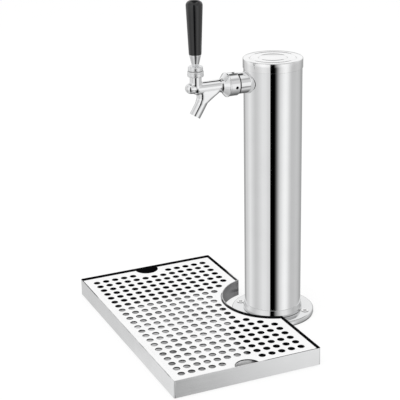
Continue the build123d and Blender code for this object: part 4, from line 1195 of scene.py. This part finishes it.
@dataclass
class DripTray:
    """The sheet-metal pan with a round cut-out for the tower, and its perforated grid."""

    length: float = 340.0
    width: float = 200.0
    back: float = -20.0
    low: float = 1.0
    floor_top: float = 2.2
    rim: float = 24.0
    wall: float = 1.2
    corner: float = 2.0
    cutout: float = 69.0
    grid_top: float = 21.4
    grid_thick: float = 1.5
    grid_gap: float = 1.2
    hole_radius: float = 4.7
    columns: int = 22
    rows: int = 13
    pitch_long: float = 14.4
    pitch_short: float = 13.7
    land: float = 3.2
    notch_radius: float = 16.5
    rim_angle: float = 60.0

    def plan(self, inset: float, low: float, high: float) -> bmesh.types.BMesh:
        """The tray's outline, drawn this far inside its edge, as a block between two heights."""
        half = self.length / 2 - inset
        corner = max(self.corner - inset, 0.6)
        return slab((-half, self.back - self.width + inset, low), (half, self.back - inset, high), corner)

    def tower_gap(self, inset: float, low: float, high: float) -> bmesh.types.BMesh:
        """The round block that the cut-out takes away."""
        return drill(self.cutout + inset, low, high, upright(), 256)

    def rim_edges(self, obj: bpy.types.Object, height: float) -> list[int]:
        """Edges between the upright walls and the level face at this height."""
        bm = bmesh.new()
        bm.from_mesh(obj.data)
        chosen = []
        for edge in bm.edges:
            level = all(abs(v.co.z / MM - height) < 1e-3 for v in edge.verts)
            if level and len(edge.link_faces) == 2 and edge.calc_face_angle(0.0) > radians(self.rim_angle):
                chosen.append(edge.index)
        bm.free()
        return chosen

    def pan(self) -> bpy.types.Object:
        """The pan: an outer block less its inside and the tower's gap."""
        obj = make_object("pan", self.plan(0, self.low, self.rim), None)
        carve(obj, [self.tower_gap(0, -5, self.rim + 5)])
        inside = make_object("pan_inside", self.plan(self.wall, self.floor_top, self.rim + 5), None)
        carve(inside, [self.tower_gap(self.wall, -5, self.rim + 15)])
        hollow = bmesh.new()
        hollow.from_mesh(inside.data)
        bpy.data.objects.remove(inside)
        carve(obj, [hollow])
        soften(obj, self.rim_edges(obj, self.rim), 0.3)
        reshade(obj, flat_over=100)
        fit_piece(obj, Body.TRAY, TRAY_STEEL, ["tray_pan"], mirrored=False)
        # The pan's inside and its rim by the tower take painted shade.
        add_finishes(obj, [TRAY_INSIDE, CUTOUT_STEEL, RIM_STEEL], self.finish_number)
        return obj

    def finish_number(self, place: Vector, normal: Vector) -> int:
        """Outside 0, inside with painted shade 1, the cut-out's wall 2, the rim and inner wall by the tower
        with darker painted shade 3.
        """
        past_gap = hypot(place.x, place.y) - self.cutout
        if abs(past_gap) < 0.1 and abs(normal.z) < 0.5:
            return 2
        if not self.is_inside(place, normal.z):
            return 0
        by_tower = min(self.back - place.y, past_gap) < self.wall + 0.05
        return 3 if by_tower and place.z > self.floor_top + 1 else 1

    def is_inside(self, place: Vector, upward: float) -> bool:
        """Whether a face of the pan is inside sheet that takes painted shade, by its centre in millimetres
        and its normal's Z.
        """
        if upward > 0.9 and place.z < self.rim - 2:
            return True
        right = self.length / 2 - place.x
        near = place.y - self.back + self.width
        rest = min(place.x + self.length / 2, near)
        far = min(self.back - place.y, hypot(place.x, place.y) - self.cutout, right)
        on_rim = place.z > self.rim - 0.05
        inner = min(rest, far) > self.wall - 0.05 and place.z > self.floor_top - 0.05
        return inner or (on_rim and far < self.wall and rest > self.wall)

    def hole_places(self) -> list[Point]:
        """The hole pattern, without the holes too near the cut-out or a finger notch."""
        edge = self.length / 2 - self.wall - self.grid_gap
        middle = self.back - self.width / 2
        clear = self.hole_radius + self.land
        places = []
        for column in range(self.columns):
            for row in range(self.rows):
                x = (column - (self.columns - 1) / 2) * self.pitch_long
                y = middle + (row - (self.rows - 1) / 2) * self.pitch_short
                from_notch = min(hypot(x - side * edge, y - middle) for side in (-1, 1)) - self.notch_radius
                if hypot(x, y) - self.cutout > clear and from_notch > clear:
                    places.append((x, y))
        return places

    def grid(self) -> bpy.types.Object:
        """The perforated sheet with its finger notches."""
        inset = self.wall + self.grid_gap
        low, high = self.grid_top - self.grid_thick, self.grid_top
        obj = make_object("perforated_grid", self.plan(inset, low, high), None)
        edge = self.length / 2 - inset
        middle = self.back - self.width / 2
        notches = []
        for side in (-1, 1):
            spindle = Spindle((side * edge, middle, 0), (0, 0, 1), (1, 0, 0))
            notches.append(drill(self.notch_radius, low - 3, high + 3, spindle, 72))
        punches = []
        for x, y in self.hole_places():
            punch = bmesh.new()
            bmesh.ops.create_cone(punch, cap_ends=True, segments=24, radius1=self.hole_radius * MM,
                                  radius2=self.hole_radius * MM, depth=6 * MM,
                                  matrix=Matrix.Translation((x * MM, y * MM, (low + high) / 2 * MM)))
            punches.append(punch)
        carve(obj, [self.tower_gap(inset, low - 5, high + 5), *notches])
        soften(obj, self.rim_edges(obj, high), 0.18, 1)
        carve(obj, [joined(punches)])
        reshade(obj, flat_over=100)
        fit_piece(obj, Body.GRID, GRID_STEEL, ["drip_grid"], mirrored=False)
        # The holes' walls take RECESS: painted shade.
        add_finishes(obj, [RECESS], lambda place, normal: abs(normal.z) < 0.4)
        return obj

    def build(self) -> None:
        """Make the pan and the grid."""
        self.pan()
        self.grid()


# ---- CAD nodes that keep their own shape ----


@dataclass
class KeptNodes:
    """CAD nodes whose shape is right: finish, slot name and the nodes that take them."""

    groups: tuple[tuple[Finish, str, tuple[str, ...]], ...] = (
        (RUBBER, "seal_rubber", ("base_gasket", "saddle_gasket", "coupling_gasket", "seat_washer")),
        (HEAD_STEEL, "screw_steel", ("flange_screws",)),
        (SCREW_STEEL, "screw_steel", ("hose_clamps",)),
        (WHITE_PLASTIC, "white_plastic", ("cap_plug", "inner_saddle", "ball_seat", "friction_ring")),
        (FOAM, "foam", ("foam_insulation",)),
        (CHROME, "faucet_chrome",
         ("faucet_shank", "shank_locknut", "line_elbow", "line_coupler", "nose_plug", "lever")),
        (LINE_PLASTIC, "line_plastic", ("beer_line",)),
        (INNER_STEEL, "valve_steel", ("valve_shaft", "shaft_nut")),
        (BRASS, "brass", ("handle_insert",)),
        (FEET_RUBBER, "feet_rubber", ("tray_feet",)),
        (LEG_STEEL, "tray_steel", ("grid_legs",)),
    )
    mirrored: tuple[str, ...] = ("flange_screws", "nose_plug", "lever", "base_gasket")

    def build(self) -> None:
        """Dress every kept node; those inside others stay out of reflections."""
        for finish, slot, names in self.groups:
            for name in names:
                dress(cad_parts[name], finish)
                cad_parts[name].visible_glossy = name in self.mirrored
                LOG.info("%s keeps its CAD shape, finished in %s", name, finish.name)


# ---- Studio ----


@dataclass
class Studio:
    """The camera, the pale floor and the soft studio surround.

    The surround is brighter and darker by direction, as reflector boards stand round a product: angles are
    counted in degrees round the tower from the board behind the camera.
    """

    camera_at: Triple = (1367.0, -708.1, 720.2)
    azimuth: float = 66.24
    elevation: float = 19.879
    roll: float = -1.135
    lens: float = 109.84
    level: float = 1.0
    floor_size: float = 12.0
    floor_greys: tuple[Triple, Triple] = ((0.8, 0.8, 0.8), (0.79, 0.79, 0.79))
    veil_grey: Triple = (0.3, 0.3, 0.3)
    floor_glow: float = 0.74
    matt_light: Triple = (0.85, 0.85, 0.85)
    lamp_at: Triple = (0.5, -0.5, 1.8)
    lamp_aim: Triple = (0, -0.05, 0.1)
    lamp_side: float = 1.4
    lamp_power: float = 7.0
    counter_boards: Points = (
        (-180, 0.12), (-165, 0.3), (-145, 0.7), (-138, 0.78), (-132, 0.85), (-122, 0.6), (-90, 0.5),
        (-40, 0.7), (-16.5, 0.7), (-13.5, 0), (5, 0), (8, 0.1), (30, 0.3), (44, 0.3), (46, 0.36),
        (50, 0.62), (53.7, 0.84), (62, 0.6), (80, 0.42), (106, 0.3), (140, 0.16), (180, 0.1))
    low_boards: Points = (
        (-180, 0.33), (-156, 0.38), (-142, 0.52), (-139.5, 0.68), (-133, 0.7), (-129, 0.66), (-121, 0.75),
        (-106, 0.86), (-88, 0.7), (-77, 0.62), (-67, 0.65), (-44, 0.83), (-31, 0.82), (-19, 0.71),
        (-15.5, 0.8), (-12.5, 0.0), (3, 0.0), (6, 0.02), (10, 0.11), (14, 0.26), (20, 0.52), (26, 0.73),
        (39, 0.94), (48, 0.99), (57, 0.91), (66, 0.72), (76, 0.58), (90, 0.58), (105, 0.61), (120, 0.57),
        (139, 0.42), (180, 0.33))
    horizon_boards: Points = (
        (-180, 0.55), (-165, 0.5), (-150, 0.5), (-121, 0.85), (-106, 1.0), (-88, 0.8), (-77, 0.75),
        (-44, 1.05), (-31, 1.0), (-15, 0.9), (-12, 0.0), (2, 0.0), (6, 0.2), (14, 0.5), (20, 0.7),
        (34, 1.0), (50, 1.0), (66, 0.75), (82, 0.6), (105, 0.68), (140, 0.5), (160, 0.5), (180, 0.55))
    high_boards: Points = (
        (-180, 1.0), (-150, 1.0), (-110, 0.8), (-90, 0.6), (-60, 0.8), (-30, 0.95), (-14.5, 0.95),
        (-11, 0.03), (3, 0.03), (7, 0.5), (24, 0.8), (48, 0.68), (90, 0.75), (140, 0.85), (160, 1.0),
        (180, 1.0))
    roof_boards: Points = (
        (-180, 0.05), (-168, 0.08), (-150, 0.5), (-110, 0.8), (-90, 0.6), (-60, 0.85), (0, 0.8), (53, 0.48),
        (100, 0.6), (140, 0.4), (160, 0.08), (180, 0.05))
    overhead_boards: Points = (
        (-180, 0.04), (-157, 0.2), (-131, 0.95), (0, 0.9), (100, 0.95), (128, 0.95), (146, 0.2),
        (160, 0.05), (180, 0.04))
    zenith: float = 0.2

    def camera(self) -> None:
        """Make the camera and aim it."""
        a, e, roll = radians(self.azimuth), radians(self.elevation), radians(self.roll)
        back = Vector((sin(a) * cos(e), -cos(a) * cos(e), sin(e)))
        right = Vector((cos(a), sin(a), 0))
        up = back.cross(right)
        turned_right = right * cos(roll) + up * sin(roll)
        turned_up = up * cos(roll) - right * sin(roll)
        data = bpy.data.cameras.new("camera")
        data.sensor_width = 36.0
        data.lens = self.lens
        data.clip_start, data.clip_end = 0.05, 50
        obj = bpy.data.objects.new("camera", data)
        obj.matrix_world = (Matrix.Translation(Vector(self.camera_at) * MM)
                            @ Matrix((turned_right, turned_up, back)).transposed().to_4x4())
        bpy.context.scene.collection.objects.link(obj)
        bpy.context.scene.camera = obj

    def floor(self) -> None:
        """A wide pale floor that keeps the object's shadow."""
        bm = bmesh.new()
        bmesh.ops.create_grid(bm, x_segments=2, y_segments=2, size=self.floor_size)
        obj = make_object("floor", bm, None)
        made = bpy.data.materials.new("pale_floor")
        made.use_nodes = True
        tree = NodeTree(made.node_tree)
        ray = tree.add("ShaderNodeLightPath")
        mottle = tree.noise(tree.stretched((1, 1, 1)), 3.0, 2.0)
        diffuse = tree.add("ShaderNodeBsdfDiffuse")
        tree.link(tree.pick(tree.spread(mottle, 0, 1), *self.floor_greys), diffuse.inputs["Color"])
        veil = tree.add("ShaderNodeBsdfDiffuse")
        veil.inputs["Color"].default_value = (*self.veil_grey, 1)
        glow = tree.add("ShaderNodeEmission")
        glow.inputs["Strength"].default_value = self.floor_glow
        shown = tree.add("ShaderNodeAddShader")
        tree.link(veil.outputs[0], shown.inputs[0])
        tree.link(glow.outputs[0], shown.inputs[1])
        mix = tree.add("ShaderNodeMixShader")
        tree.link(ray.outputs["Is Camera Ray"], mix.inputs[0])
        tree.link(diffuse.outputs[0], mix.inputs[1])
        tree.link(shown.outputs[0], mix.inputs[2])
        output = tree.add("ShaderNodeOutputMaterial")
        tree.link(mix.outputs[0], output.inputs["Surface"])
        obj.data.materials.append(made)
        obj.visible_glossy = False

    def boards(self, tree: NodeTree, share: bpy.types.NodeSocket, stops: Points) -> bpy.types.NodeSocket:
        """Grey boards round the tower.

        Args:
            tree: the world's nodes.
            share: the direction round the tower, 0 to 1.
            stops: angles with their brightness.

        Returns:
            The boards' colour in that direction.
        """
        made = tree.add("ShaderNodeValToRGB")
        ramp = made.color_ramp
        while len(ramp.elements) < len(stops):
            ramp.elements.new(0.5)
        for element, (degree, value) in zip(ramp.elements, stops):
            element.position = (degree + 180) / 360
            element.color = (value, value, value, 1)
        tree.link(share, made.inputs[0])
        return made.outputs[0]

    def surround(self) -> None:
        """The world: plain light for matt surfaces, boards for shiny ones, white to the camera."""
        world = bpy.data.worlds.new("studio")
        bpy.context.scene.world = world
        world.use_nodes = True
        tree = NodeTree(world.node_tree)
        split = tree.add("ShaderNodeSeparateXYZ")
        tree.link(tree.add("ShaderNodeTexCoord").outputs["Generated"], split.inputs[0])
        angle = tree.math("ARCTAN2", split.outputs["Y"], split.outputs["X"])
        middle = radians(self.azimuth - 90)
        wrapped = tree.math("WRAP", tree.math("SUBTRACT", angle, middle), pi)
        wrapped.node.inputs[2].default_value = -pi
        share = tree.math("MULTIPLY_ADD", wrapped, 1 / (2 * pi))
        share.node.inputs[2].default_value = 0.5
        height = split.outputs["Z"]
        shown = self.boards(tree, share, self.counter_boards)
        top = ((-180, self.zenith), (180, self.zenith))
        layers = ((self.low_boards, -0.455, -0.445), (self.horizon_boards, -0.2, -0.14),
                  (self.high_boards, 0.15, 0.2), (self.roof_boards, 0.6, 0.64),
                  (self.overhead_boards, 0.76, 0.86), (top, 0.955, 0.98))
        for stops, start, end in layers:
            shown = tree.pick(tree.spread(height, 0, 1, start, end), shown, self.boards(tree, share, stops))
        ray = tree.add("ShaderNodeLightPath")
        shown = tree.pick(ray.outputs["Is Diffuse Ray"], shown, self.matt_light)
        bare = tree.math("MAXIMUM", ray.outputs["Is Camera Ray"], ray.outputs["Is Transmission Ray"])
        shown = tree.pick(bare, shown, (1, 1, 1))
        background = tree.add("ShaderNodeBackground")
        background.inputs["Strength"].default_value = self.level
        tree.link(shown, background.inputs["Color"])
        output = tree.add("ShaderNodeOutputWorld")
        tree.link(background.outputs[0], output.inputs["Surface"])

    def lamp(self) -> None:
        """A broad soft lamp above the tower, for the shadow on the floor."""
        data = bpy.data.lights.new("soft_box", "AREA")
        data.shape = "RECTANGLE"
        data.size, data.size_y = self.lamp_side, self.lamp_side
        data.energy = self.lamp_power
        obj = bpy.data.objects.new("soft_box", data)
        obj.location = self.lamp_at
        direction = Vector(self.lamp_aim) - obj.location
        obj.rotation_mode = "QUATERNION"
        obj.rotation_quaternion = direction.to_track_quat("-Z", "Y")
        obj.visible_glossy = False
        bpy.context.scene.collection.objects.link(obj)

    def build(self) -> None:
        """Set up the whole studio."""
        bpy.context.scene.view_settings.view_transform = "Standard"
        self.camera()
        self.floor()
        self.surround()
        self.lamp()


def main() -> None:
    """Build the studio and every sub-assembly in order."""
    logging.basicConfig(level=logging.INFO, format="%(name)s: %(message)s")
    Studio().build()
    Column().build()
    Cap().build()
    Shank().build()
    nut = CouplingNut()
    nut.build()
    FaucetBody(nut).build()
    Lever().build()
    Handle().build()
    DripTray().build()
    KeptNodes().build()


if __name__ == "__main__":
    main()
